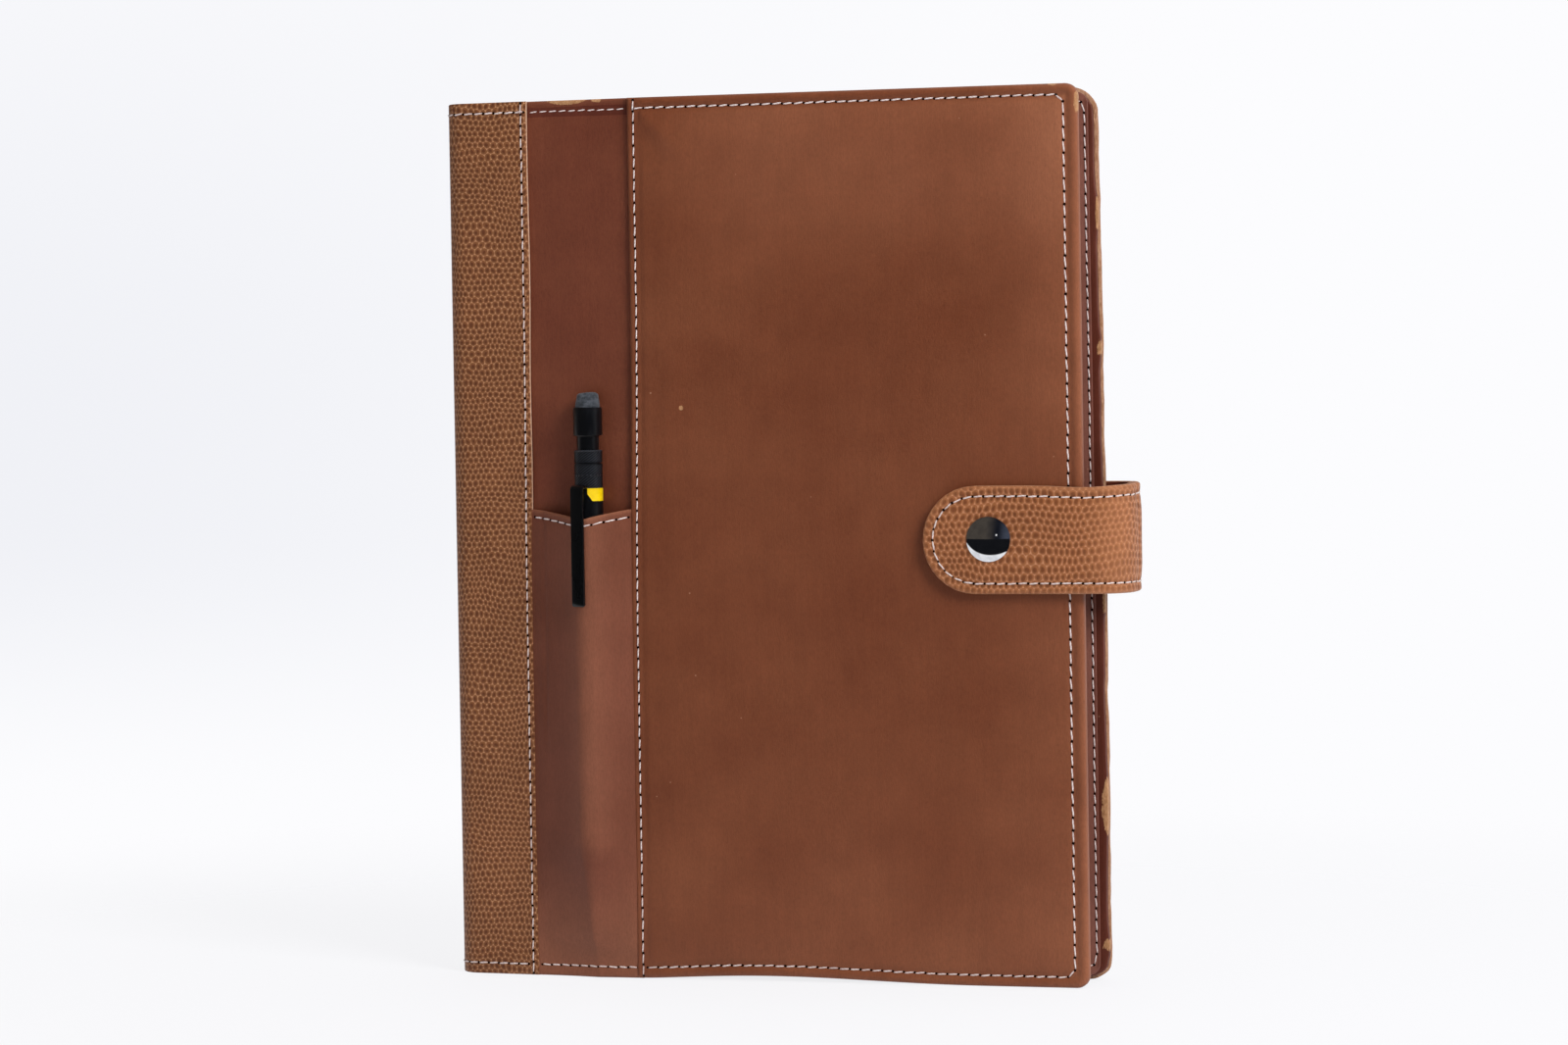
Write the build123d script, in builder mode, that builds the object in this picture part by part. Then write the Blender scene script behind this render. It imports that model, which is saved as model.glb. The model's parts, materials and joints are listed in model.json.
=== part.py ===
"""Leather notebook cover with a snap strap, a pen pocket, a notebook and a mechanical pencil.

The cover stands closed on its bottom edges. X runs across the cover from the spine (-X) to the
fore-edge (+X), Y through its thickness from the front cover (-Y) to the back cover (+Y), and Z up.
The origin is at the middle of the bottom of the whole object. All sizes are in millimetres.
"""

from build123d import *
from math import asin, cos, degrees, radians, sin, tan
import os

os.makedirs("parts", exist_ok=True)

# %% Driving dimensions
# Cover
wrap_width = 24.6  # how far the spine's leather reaches over the front
strip_width = 29.3  # the strip's visible part
back_overhang = 1.7  # the back's raw edge stands out past the front
front_corner_radius = 5.0
back_corner_radius = 7.5
spine_radius = 6.0
hinge_slope = 3.54  # degrees by which the strip falls back towards the spine
fold_gap = 0.2

# Layers
leather = 1.4
board = 1.4
lining = 0.8
panel_padding = 0.4  # the padded panel stands this far proud of the wrap
turned_edge = 3.0
strip_tuck = 7.0  # hidden margin of the strip under the panel
lining_inset = 0.8
layer_clearance = 0.1

# Sleeves and notebook
sleeve_width = 60.0
sleeve_seam = 4.0
card = 0.8
card_clearance = 0.05
page_width = 148.0
page_height = 210.0
page_block_thickness = 7.1
page_clearance = 0.2
page_head = 15.0  # cover beyond the pages at top and bottom
page_fore = 23.1  # cover beyond the pages at the fore-edge
card_overhang = 1.0
tape = 0.4
tape_leg = 18.0
spine_room = 4.0  # between the spine's lining and the binding tape

# Pen pocket and pencil
pocket_drop = 5.6  # from the clip's bridge down to the pocket's mouth
pocket_leather = 1.2
pocket_seam = 3.2
pocket_clearance = 0.15
pocket_foot = 6.0  # flat sewn margin under the pocket
pencil_offset = 11.7  # pencil's axis to the panel's edge
pencil_bottom = 15.2
pencil_radius = 3.85
barrel_wall = 0.95
sleeve_tip_radius = 0.5
lead_radius = 0.25
lead_sleeve_length = 4.5
cone_length = 15.7
cone_tip_radius = 1.2
cone_step = 0.5
barrel_length = 98.5
collar_length = 10.6
push_gap = 3.9
cap_length = 7.7
cap_wall = 0.3
neck_radius = 3.05
eraser_radius = 3.6
eraser_proud = 4.1
eraser_round = 1.6
eraser_seat = 5.0
pencil_fit = 0.1
label_length = 4.0
label_film = 0.1
clip_length = 32.7
clip_width = 3.7
clip_thickness = 0.9
clip_turn = 14.0  # degrees towards the spine
clip_clearance = 0.2
clip_bridge = 1.6
push_travel = 3.5
spigot_length = 6.0
chuck_radius = 1.4
chuck_length = 16.0
lead_tube_radius = 1.7
lead_tube_wall = 0.35
lead_length = 60.0
spring_wire = 0.25
spring_turns = 8

# Strap and snap
strap_width = 28.8
strap_centre = 119.5
strap_reach = 43.0  # from the fore-edge to the strap's round tip
strap_leather = 1.5
strap_lining = 1.3
strap_gap = 0.5
loop_radius = 11.0
loop_play = 0.2  # from the back's raw edge to where the strap turns
tail_length = 46.0
tail_corner = 4.0
strap_hinge_gap = 0.2
snap_reach = 24.8
cap_diameter = 11.4
cap_rim = 0.5
cap_dome = 1.7
socket_radius = 4.8
socket_hub_radius = 3.1
socket_wall = 0.5
snap_play = 0.3  # between the stud's head and the socket
stud_radius = 2.1
stud_neck_radius = 1.6
stud_head = 1.2
stud_base_radius = 4.2
stud_base = 0.3
post_radius = 1.0
post_head_radius = 4.0
post_head = 0.5
rivet_clearance = 0.05

# %% Places worked out from the driving dimensions
# The layers' depths are measured from the wrap's outer surface, or the back leather's.
slope = tan(radians(hinge_slope))
board_depth = leather + board
lining_depth = board_depth + lining
slot_depth = card + 2 * card_clearance
sleeve_depth = slot_depth + lining

# The cover is as large as its notebook needs.
tape_reach = lining_depth + spine_room  # from the spine's outside to the binding tape
cover_height = page_height + 2 * page_head
cover_width = tape_reach + tape + page_width + page_fore
strip_fall = slope * (wrap_width + strip_width - tape_reach)
front_stack = panel_padding + lining_depth + card_clearance + card + strip_fall + page_clearance
back_stack = page_clearance + sleeve_depth + lining_depth
cover_thickness = front_stack + page_block_thickness + back_stack

# How far the pencil's clip and the strap stand out decides where the middle lies.
panel_leather = leather + panel_padding
pencil_rise = pencil_radius + pocket_clearance
clip_reach = pencil_rise + pocket_leather + clip_clearance + clip_thickness
clip_proud = pencil_rise + clip_reach - panel_leather - slope * pencil_offset
strap_thickness = strap_leather + strap_lining
strap_loop = back_overhang + loop_play + loop_radius
overall_width = cover_width + strap_loop
overall_depth = clip_proud + cover_thickness + strap_thickness

spine_x = -overall_width / 2
fore_x = spine_x + cover_width
back_fore_x = fore_x + back_overhang
seam_x = spine_x + wrap_width
panel_x = seam_x + strip_width
panel_width = fore_x - panel_x
front_y = clip_proud - overall_depth / 2
back_y = front_y + cover_thickness
wrap_y = front_y + panel_padding


def facing(y):
    """A plane parallel to the covers at depth y, whose sketches extrude towards the front."""
    return Plane.XZ.offset(-y)


def on_circle(centre, angle, radius):
    """The point on a circle round centre at an angle in degrees."""
    return Vector(
        centre.X + radius * cos(radians(angle)), centre.Y + radius * sin(radians(angle))
    )


# Centres of the spine's two rounded corners, and the angles at which the covers meet them
front_start = 270 - hinge_slope
back_start = 90
front_arc_x = spine_x + spine_radius
front_tangent_x = front_arc_x + spine_radius * cos(radians(front_start))
front_tangent_y = wrap_y + slope * (panel_x - front_tangent_x)
front_centre = Vector(front_arc_x, front_tangent_y + spine_radius * cos(radians(hinge_slope)))
back_centre = Vector(front_arc_x, back_y - spine_radius)
front_fold_angle = (front_start + 180) / 2
back_fold_angle = (back_start + 180) / 2
half_gap = degrees(asin(fold_gap / 2 / spine_radius))
front_fold = on_circle(front_centre, front_fold_angle, spine_radius)
back_fold = on_circle(back_centre, back_fold_angle, spine_radius)


def front_depth(x, depth):
    """The Y of a depth under the wrap's outer surface on the front cover, at x."""
    return wrap_y + depth + slope * max(panel_x - x, 0)


def front_layer_lines(edge_x, near, far):
    """Draw the cross-section of one bent front layer, from edge_x round half of the spine's corner."""
    end = front_fold_angle + half_gap
    for depth in (near, far):
        radius = spine_radius - depth
        bend = [(panel_x, front_depth(panel_x, depth))] if edge_x > panel_x else []
        Polyline(
            (edge_x, front_depth(edge_x, depth)),
            *bend,
            on_circle(front_centre, front_start, radius),
        )
        CenterArc(front_centre, radius, front_start, end - front_start)
    Line((edge_x, front_depth(edge_x, near)), (edge_x, front_depth(edge_x, far)))
    Line(
        on_circle(front_centre, end, spine_radius - near),
        on_circle(front_centre, end, spine_radius - far),
    )


def back_layer_lines(edge_x, near, far):
    """Draw the cross-section of one back layer, from edge_x round half of the spine's corner."""
    end = back_fold_angle - half_gap
    for depth in (near, far):
        radius = spine_radius - depth
        Line((edge_x, back_y - depth), (back_centre.X, back_y - depth))
        CenterArc(back_centre, radius, back_start, end - back_start)
    Line((edge_x, back_y - near), (edge_x, back_y - far))
    Line(
        on_circle(back_centre, end, spine_radius - near),
        on_circle(back_centre, end, spine_radius - far),
    )


def spine_layer_lines(near, far):
    """Draw the cross-section of one layer of the rounded spine, from fold to fold."""
    front_end = front_fold_angle - half_gap
    back_end = back_fold_angle + half_gap
    for depth in (near, far):
        radius = spine_radius - depth
        CenterArc(front_centre, radius, 180, front_end - 180)
        Line(on_circle(front_centre, 180, radius), on_circle(back_centre, 180, radius))
        CenterArc(back_centre, radius, back_end, 180 - back_end)
    for centre, angle in ((front_centre, front_end), (back_centre, back_end)):
        Line(
            on_circle(centre, angle, spine_radius - near),
            on_circle(centre, angle, spine_radius - far),
        )


def fore_edge_corners(piece):
    """The short edges through the thickness at a piece's top and bottom fore-edge corners."""
    return piece.edges().filter_by(Axis.Y).group_by(Axis.X)[-1]


# %% Spine: leather, backing and lining, one inside the next
spine_layers = {
    "spine_leather": (0, leather, 0),
    "spine_backing": (leather, board_depth, lining_inset),
    "spine_lining": (board_depth, lining_depth, lining_inset),
}
for spine_name, (near, far, inset) in spine_layers.items():
    with BuildPart() as spine_layer:
        with BuildSketch(Plane.XY.offset(inset)):
            with BuildLine():
                spine_layer_lines(near, far)
            make_face()
        extrude(amount=cover_height - 2 * inset)
    spine_layer.part.label = spine_name
    export_step(spine_layer.part, f"parts/{spine_name}.step")

# %% Back cover
# The embossed leather reaches past the board to a raw edge, so it is not turned in.
with BuildPart() as back_leather:
    with BuildSketch(Plane.XY):
        with BuildLine():
            back_layer_lines(back_fore_x, 0, leather)
        make_face()
    extrude(amount=cover_height)
    fillet(fore_edge_corners(back_leather), back_corner_radius)
back_leather.part.label = "back_leather"
export_step(back_leather.part, "parts/back_leather.step")

back_board_edge = back_fore_x - lining_inset
with BuildPart() as back_board:
    with BuildSketch(facing(back_y - leather)):
        with Locations(((back_board_edge + back_centre.X) / 2, cover_height / 2)):
            Rectangle(back_board_edge - back_centre.X, cover_height - 2 * lining_inset)
    extrude(amount=board)
    fillet(fore_edge_corners(back_board), back_corner_radius - lining_inset)
back_board.part.label = "back_board"
export_step(back_board.part, "parts/back_board.step")

with BuildPart() as back_lining:
    with BuildSketch(Plane.XY.offset(lining_inset)):
        with BuildLine():
            back_layer_lines(back_board_edge, board_depth, lining_depth)
        make_face()
    extrude(amount=cover_height - 2 * lining_inset)
    fillet(fore_edge_corners(back_lining), back_corner_radius - lining_inset)
back_lining.part.label = "back_lining"
export_step(back_lining.part, "parts/back_lining.step")


def make_sleeve(edge_x, lining_y, inward, corner_radius):
    """A sleeve sewn to a lining along three edges, open towards the spine, for a notebook card.

    inward is +1 where the sleeve lies behind its lining, seen from the front, and -1 where before it.
    """
    height = cover_height - 2 * lining_inset
    middle = (edge_x - sleeve_width / 2, cover_height / 2)
    front_face = lining_y if inward > 0 else lining_y - sleeve_depth
    slot_face = lining_y if inward > 0 else lining_y - slot_depth
    with BuildPart() as sleeve:
        with BuildSketch(facing(front_face + sleeve_depth)):
            with Locations(middle):
                Rectangle(sleeve_width, height)
        extrude(amount=sleeve_depth)
        fillet(fore_edge_corners(sleeve), corner_radius)
        with BuildSketch(facing(slot_face + slot_depth)):
            with Locations((middle[0] - sleeve_seam, middle[1])):
                Rectangle(sleeve_width, height - 2 * sleeve_seam)
        extrude(amount=slot_depth, mode=Mode.SUBTRACT)
    return sleeve.part


front_lining_y = wrap_y + lining_depth
back_lining_y = back_y - lining_depth
back_sleeve = make_sleeve(
    back_board_edge, back_lining_y, -1, back_corner_radius - lining_inset
)
back_sleeve.label = "back_sleeve"
export_step(back_sleeve, "parts/back_sleeve.step")

# %% Notebook, whose cards slide into the two sleeves
tape_x = spine_x + tape_reach
block_x = tape_x + tape
card_edge_x = block_x + page_width + card_overhang
card_height = page_height + 2 * card_overhang
card_bottom = (cover_height - card_height) / 2
back_card_y = back_lining_y - card_clearance
block_front_y = front_y + front_stack
block_back_y = block_front_y + page_block_thickness

with BuildPart() as back_card:
    with BuildSketch(facing(back_card_y)):
        with Locations(((tape_x + card_edge_x) / 2, cover_height / 2)):
            Rectangle(card_edge_x - tape_x, card_height)
    extrude(amount=card)
back_card.part.label = "notebook_back_card"
export_step(back_card.part, "parts/notebook_back_card.step")

with BuildPart() as page_block:
    with BuildSketch(facing(block_back_y)):
        with Locations((block_x + page_width / 2, cover_height / 2)):
            Rectangle(page_width, page_height)
    extrude(amount=page_block_thickness)
page_block.part.label = "page_block"
export_step(page_block.part, "parts/page_block.step")

# The tape runs down the block's spine and turns on to the back card.
page_bottom = (cover_height - page_height) / 2
with BuildPart() as binding_tape:
    with BuildSketch(Plane.XY.offset(page_bottom)):
        with BuildLine():
            Polyline(
                (tape_x, block_front_y),
                (block_x, block_front_y),
                (block_x, back_card_y - card - tape),
                (tape_x + tape_leg, back_card_y - card - tape),
                (tape_x + tape_leg, back_card_y - card),
                (tape_x, back_card_y - card),
                close=True,
            )
        make_face()
    extrude(amount=page_height)
binding_tape.part.label = "binding_tape"
export_step(binding_tape.part, "parts/binding_tape.step")

# %% Front cover
with BuildPart() as front_wrap:
    with BuildSketch(Plane.XY):
        with BuildLine():
            front_layer_lines(seam_x, 0, leather)
        make_face()
    extrude(amount=cover_height)
front_wrap.part.label = "front_wrap"
export_step(front_wrap.part, "parts/front_wrap.step")

# The strip runs under the wrap as far as the fold, and under the panel's edge.
strip_end_x = panel_x + strip_tuck
with BuildPart() as front_strip:
    with BuildSketch(Plane.XY):
        with BuildLine():
            front_layer_lines(strip_end_x, leather, board_depth)
        make_face()
    extrude(amount=cover_height)
front_strip.part.label = "front_strip"
export_step(front_strip.part, "parts/front_strip.step")

# Snap position on the panel
snap_x = fore_x - snap_reach

# The panel's leather is turned in round three edges, and the board lies inside the turned edge.
with BuildPart() as front_panel:
    with BuildSketch(facing(front_y + panel_leather + board)):
        with Locations((panel_x + panel_width / 2, cover_height / 2)):
            Rectangle(panel_width, cover_height)
    extrude(amount=panel_leather + board)
    fillet(fore_edge_corners(front_panel), front_corner_radius)
    with BuildSketch(facing(front_y + panel_leather + board)):
        with Locations((fore_x - turned_edge - panel_width / 2, cover_height / 2)):
            Rectangle(panel_width, cover_height - 2 * turned_edge)
        with Locations((panel_x + strip_tuck / 2, cover_height / 2)):
            Rectangle(strip_tuck + layer_clearance, cover_height)
    extrude(amount=board, mode=Mode.SUBTRACT)
    fillet(
        front_panel.faces().sort_by(Axis.Y)[0].edges().filter_by(Axis.Z).sort_by(Axis.X)[0],
        panel_padding,
    )
    with BuildSketch(facing(front_y + panel_leather)):
        with Locations((snap_x, strap_centre)):
            Circle(post_radius + rivet_clearance)
    extrude(amount=panel_leather, mode=Mode.SUBTRACT)
front_panel.part.label = "front_panel"
export_step(front_panel.part, "parts/front_panel.step")

front_board_x = strip_end_x + layer_clearance
front_board_edge = fore_x - turned_edge - layer_clearance
front_board_height = cover_height - 2 * (turned_edge + layer_clearance)
with BuildPart() as front_board:
    with BuildSketch(facing(front_y + panel_leather + board)):
        with Locations(((front_board_x + front_board_edge) / 2, cover_height / 2)):
            Rectangle(front_board_edge - front_board_x, front_board_height)
    extrude(amount=board)
    with BuildSketch(facing(front_y + panel_leather + post_head)):
        with Locations((snap_x, strap_centre)):
            Circle(post_head_radius + rivet_clearance)
    extrude(amount=post_head, mode=Mode.SUBTRACT)
front_board.part.label = "front_board"
export_step(front_board.part, "parts/front_board.step")

front_lining_edge = fore_x - lining_inset
with BuildPart() as front_lining:
    with BuildSketch(Plane.XY.offset(lining_inset)):
        with BuildLine():
            front_layer_lines(front_lining_edge, board_depth, lining_depth)
        make_face()
    extrude(amount=cover_height - 2 * lining_inset)
    fillet(fore_edge_corners(front_lining), front_corner_radius - lining_inset)
front_lining.part.label = "front_lining"
export_step(front_lining.part, "parts/front_lining.step")

front_sleeve = make_sleeve(
    front_lining_edge, front_lining_y, 1, front_corner_radius - lining_inset
)
front_sleeve.label = "front_sleeve"
export_step(front_sleeve, "parts/front_sleeve.step")

card_depth = lining_depth + card_clearance
card_bend = (
    (card_edge_x, 0),
    (panel_x, 0),
    (tape_x, 0),
    (tape_x, card),
    (panel_x, card),
    (card_edge_x, card),
)
with BuildPart() as front_card:
    with BuildSketch(Plane.XY.offset(card_bottom)):
        with BuildLine():
            Polyline(*[(x, front_depth(x, card_depth + d)) for x, d in card_bend], close=True)
        make_face()
    extrude(amount=card_height)
front_card.part.label = "notebook_front_card"
export_step(front_card.part, "parts/notebook_front_card.step")

# %% Pen pocket, a tent of leather over the pencil
# The strip's plane: local x runs along the strip towards the panel, local y into the cover.
strip_y = front_depth(panel_x, leather)
strip_dir = Vector(cos(radians(hinge_slope)), -sin(radians(hinge_slope)), 0)
strip_plane = Plane(origin=(panel_x, strip_y, 0), x_dir=strip_dir, z_dir=(0, 0, 1))
pocket_left = (seam_x - panel_x) / cos(radians(hinge_slope)) + layer_clearance
pocket_right = -layer_clearance


def tangent_point(outside, centre, radius, turn):
    """Where the tangent from a point meets a circle; turn is +1 or -1 for the side."""
    to_centre = centre - outside
    reach = (to_centre.length**2 - radius**2) ** 0.5
    angle = turn * degrees(asin(radius / to_centre.length))
    return outside + to_centre.rotate(Axis.Z, angle).normalized() * reach


def pocket_lines(bulge, rise):
    """Draw the pocket's cross-section over a round thing of radius bulge, centred rise off the strip."""
    centre = Vector(-pencil_offset, -rise)
    left_foot = pocket_left + pocket_seam
    right_foot = pocket_right - pocket_seam
    for height in (0, pocket_leather):
        radius = bulge + height
        left = tangent_point(Vector(left_foot, -height), centre, radius, -1)
        right = tangent_point(Vector(right_foot, -height), centre, radius, 1)
        Polyline((pocket_left, -height), (left_foot, -height), left)
        ThreePointArc(left, centre - Vector(0, radius), right)
        Polyline(right, (right_foot, -height), (pocket_right, -height))
    for edge in (pocket_left, pocket_right):
        Line((edge, 0), (edge, -pocket_leather))


cone_bottom = pencil_bottom + lead_sleeve_length
barrel_bottom = cone_bottom + cone_length
barrel_top = barrel_bottom + barrel_length
pocket_height = barrel_top - pocket_drop
tip_bulge = sleeve_tip_radius + pocket_clearance
pocket_sections = (
    (pocket_foot, tip_bulge, tip_bulge),
    (pencil_bottom - push_travel - pocket_clearance, tip_bulge, pencil_rise),
    (cone_bottom, cone_tip_radius + pocket_clearance, pencil_rise),
    (barrel_bottom, pencil_rise, pencil_rise),
    (pocket_height, pencil_rise, pencil_rise),
)
with BuildPart() as pen_pocket:
    with BuildSketch(strip_plane):
        with Locations(((pocket_left + pocket_right) / 2, -pocket_leather / 2)):
            Rectangle(pocket_right - pocket_left, pocket_leather)
    extrude(amount=pocket_foot)
    for height, bulge, rise in pocket_sections:
        with BuildSketch(strip_plane.offset(height)):
            with BuildLine():
                pocket_lines(bulge, rise)
            make_face()
    loft(ruled=True)
pen_pocket.part.label = "pen_pocket"
export_step(pen_pocket.part, "parts/pen_pocket.step")

# %% Mechanical pencil, tip down in the pocket
pencil_foot = strip_plane.from_local_coords(Vector(-pencil_offset, -pencil_rise, 0))
clip_dir = Vector(cos(radians(clip_turn)), -sin(radians(clip_turn)), 0)


def pencil_plane(z):
    """A level plane on the pencil's axis at height z; its local -y points at the clip."""
    return Plane(origin=(pencil_foot.X, pencil_foot.Y, z), x_dir=clip_dir, z_dir=(0, 0, 1))


def turned(label, outline):
    """A round piece of the pencil, from a closed outline of (radius, height) points."""
    section = Plane(
        origin=(pencil_foot.X, pencil_foot.Y, 0), x_dir=(1, 0, 0), z_dir=(0, -1, 0)
    )
    with BuildPart() as piece:
        with BuildSketch(section):
            with BuildLine():
                Polyline(*outline, close=True)
            make_face()
        revolve(axis=Axis((pencil_foot.X, pencil_foot.Y, 0), (0, 0, 1)))
    piece.part.label = label
    return piece.part


def tube(label, bottom, top, outer, inner):
    """A straight tube of the pencil."""
    return turned(label, [(inner, bottom), (outer, bottom), (outer, top), (inner, top)])


bore = pencil_radius - barrel_wall
collar_top = barrel_top + collar_length
cap_bottom = collar_top + push_gap
cap_top = cap_bottom + cap_length
spigot_radius = bore - rivet_clearance
chuck_room = chuck_radius + pencil_fit
chuck_bottom = barrel_bottom + spigot_length
tube_bottom = chuck_bottom + chuck_length
neck_room = neck_radius + pencil_fit
neck_bottom = barrel_top
label_bottom = barrel_top - label_length

pencil_barrel = tube("pencil_barrel", barrel_bottom, barrel_top, pencil_radius, bore)
export_step(pencil_barrel, "parts/pencil_barrel.step")

# The collar's bore guides the neck of the push cap.
pencil_collar = turned(
    "pencil_collar",
    [
        (neck_room, barrel_top),
        (pencil_radius, barrel_top),
        (pencil_radius, collar_top),
        (neck_room, collar_top),
    ],
)
export_step(pencil_collar, "parts/pencil_collar.step")

cone_bore = lead_radius + pencil_fit
pencil_cone = turned(
    "pencil_cone",
    [
        (sleeve_tip_radius + rivet_clearance, cone_bottom),
        (cone_tip_radius, cone_bottom),
        (pencil_radius - cone_step, barrel_bottom),
        (spigot_radius, barrel_bottom),
        (spigot_radius, barrel_bottom + spigot_length),
        (chuck_room, barrel_bottom + spigot_length),
        (chuck_room, barrel_bottom),
        (sleeve_tip_radius + rivet_clearance, barrel_bottom - spigot_length),
    ],
)
export_step(pencil_cone, "parts/pencil_cone.step")

lead_sleeve = tube(
    "lead_sleeve",
    pencil_bottom,
    cone_bottom + lead_sleeve_length,
    sleeve_tip_radius,
    cone_bore,
)
export_step(lead_sleeve, "parts/lead_sleeve.step")

pencil_label = tube(
    "pencil_label", label_bottom, barrel_top, pencil_radius + label_film, pencil_radius
)
export_step(pencil_label, "parts/pencil_label.step")

# The clip's arm hangs outside the pocket's leather, and its bridge reaches back to the collar.
arm_inside = clip_reach - clip_thickness
clip_top = barrel_top + clip_bridge
with BuildPart() as pencil_clip:
    with BuildSketch(pencil_plane(clip_top - clip_length)):
        with Locations((0, -(arm_inside + clip_reach) / 2)):
            Rectangle(clip_width, clip_thickness)
    extrude(amount=clip_length)
    with BuildSketch(pencil_plane(barrel_top)):
        with Locations((0, -(pencil_radius + clip_reach) / 2)):
            Rectangle(clip_width, clip_reach - pencil_radius)
        Circle(pencil_radius + label_film, mode=Mode.SUBTRACT)
    extrude(amount=clip_bridge)
    fillet(
        pencil_clip.edges().filter_by(Axis.Z).group_by(Axis.Z)[0], clip_thickness / 3
    )
pencil_clip.part.label = "pencil_clip"
export_step(pencil_clip.part, "parts/pencil_clip.step")

# The push cap, its neck, the eraser, the lead tube, the chuck and the lead move together.
eraser_room = eraser_radius + rivet_clearance
cap_radius = eraser_room + cap_wall
push_cap = turned(
    "pencil_push_cap",
    [
        (lead_tube_radius + rivet_clearance, neck_bottom + push_travel),
        (neck_radius, neck_bottom + push_travel),
        (neck_radius, cap_bottom),
        (cap_radius, cap_bottom),
        (cap_radius, cap_top),
        (eraser_room, cap_top),
        (eraser_room, cap_top - eraser_seat),
        (lead_tube_radius + rivet_clearance, cap_top - eraser_seat),
    ],
)
export_step(push_cap, "parts/pencil_push_cap.step")

with BuildPart() as eraser:
    with BuildSketch(pencil_plane(cap_top - eraser_seat)):
        Circle(eraser_radius)
    extrude(amount=eraser_seat + eraser_proud)
    fillet(eraser.edges().sort_by(Axis.Z)[-1], eraser_round)
eraser.part.label = "pencil_eraser"
export_step(eraser.part, "parts/pencil_eraser.step")

lead_tube = tube(
    "lead_tube",
    tube_bottom,
    cap_top - eraser_seat,
    lead_tube_radius,
    lead_tube_radius - lead_tube_wall,
)
export_step(lead_tube, "parts/lead_tube.step")

pencil_chuck = tube(
    "pencil_chuck", chuck_bottom, tube_bottom, chuck_radius, lead_radius + rivet_clearance
)
export_step(pencil_chuck, "parts/pencil_chuck.step")

with BuildPart() as pencil_lead:
    with BuildSketch(pencil_plane(pencil_bottom + rivet_clearance)):
        Circle(lead_radius)
    extrude(amount=lead_length)
pencil_lead.part.label = "pencil_lead"
export_step(pencil_lead.part, "parts/pencil_lead.step")

# The spring sits round the chuck, between the cone's spigot and the lead tube.
spring_radius = (chuck_radius + bore) / 2
spring_length = chuck_length - push_travel
spring_start = chuck_bottom + spring_wire + pencil_fit
with BuildPart() as spring:
    with BuildLine(pencil_plane(spring_start)) as spring_path:
        Helix(spring_length / spring_turns, spring_length, spring_radius)
    with BuildSketch(Plane(origin=spring_path.line @ 0, z_dir=spring_path.line % 0)):
        Circle(spring_wire)
    sweep(is_frenet=True)
spring.part.label = "pencil_spring"
export_step(spring.part, "parts/pencil_spring.step")

# %% Strap, from the back cover round the fore-edge to the snap on the panel
# It bends at the middle of each quarter turn of its loop, so it is in three lengths: the sewn
# tail, the middle of the loop, and the free end with the snap.
strap_bottom = strap_centre - strap_width / 2
strap_tip_x = fore_x - strap_reach
strap_front_y = front_y - strap_gap - strap_thickness
strap_back_y = back_y + strap_thickness
loop_x = fore_x + strap_loop
loop_centre_x = loop_x - loop_radius
front_turn = Vector(loop_centre_x, strap_front_y + loop_radius)
back_turn = Vector(loop_centre_x, strap_back_y - loop_radius)
front_bend_angle = 315
back_bend_angle = 45
bend_gap = degrees(asin(strap_hinge_gap / 2 / loop_radius))
strap_unfold = on_circle(front_turn, front_bend_angle, loop_radius)
strap_swing = on_circle(back_turn, back_bend_angle, loop_radius)


def end_cut(centre, angle, near, far):
    """Close a layer across its thickness at a bend in the loop."""
    Line(
        on_circle(centre, angle, loop_radius - near),
        on_circle(centre, angle, loop_radius - far),
    )


def free_end_lines(near, far):
    """Draw a layer of the strap's free end, from its tip to the bend at the front."""
    end = front_bend_angle - bend_gap
    for depth in (near, far):
        front_face = strap_front_y + depth
        Line((strap_tip_x, front_face), (loop_centre_x, front_face))
        CenterArc(front_turn, loop_radius - depth, 270, end - 270)
    Line((strap_tip_x, strap_front_y + near), (strap_tip_x, strap_front_y + far))
    end_cut(front_turn, end, near, far)


def loop_lines(near, far):
    """Draw a layer of the middle of the loop, from bend to bend."""
    front_end = front_bend_angle + bend_gap
    back_end = back_bend_angle - bend_gap
    for depth in (near, far):
        CenterArc(front_turn, loop_radius - depth, front_end, 360 - front_end)
        Line((loop_x - depth, front_turn.Y), (loop_x - depth, back_turn.Y))
        CenterArc(back_turn, loop_radius - depth, 0, back_end)
    end_cut(front_turn, front_end, near, far)
    end_cut(back_turn, back_end, near, far)


def tail_lines(near, far):
    """Draw a layer of the sewn tail, from its end on the back cover to the bend at the back."""
    end = back_bend_angle + bend_gap
    tail_end_x = loop_centre_x - tail_length
    for depth in (near, far):
        back_face = strap_back_y - depth
        Line((tail_end_x, back_face), (loop_centre_x, back_face))
        CenterArc(back_turn, loop_radius - depth, end, 90 - end)
    Line((tail_end_x, strap_back_y - near), (tail_end_x, strap_back_y - far))
    end_cut(back_turn, end, near, far)


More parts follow.
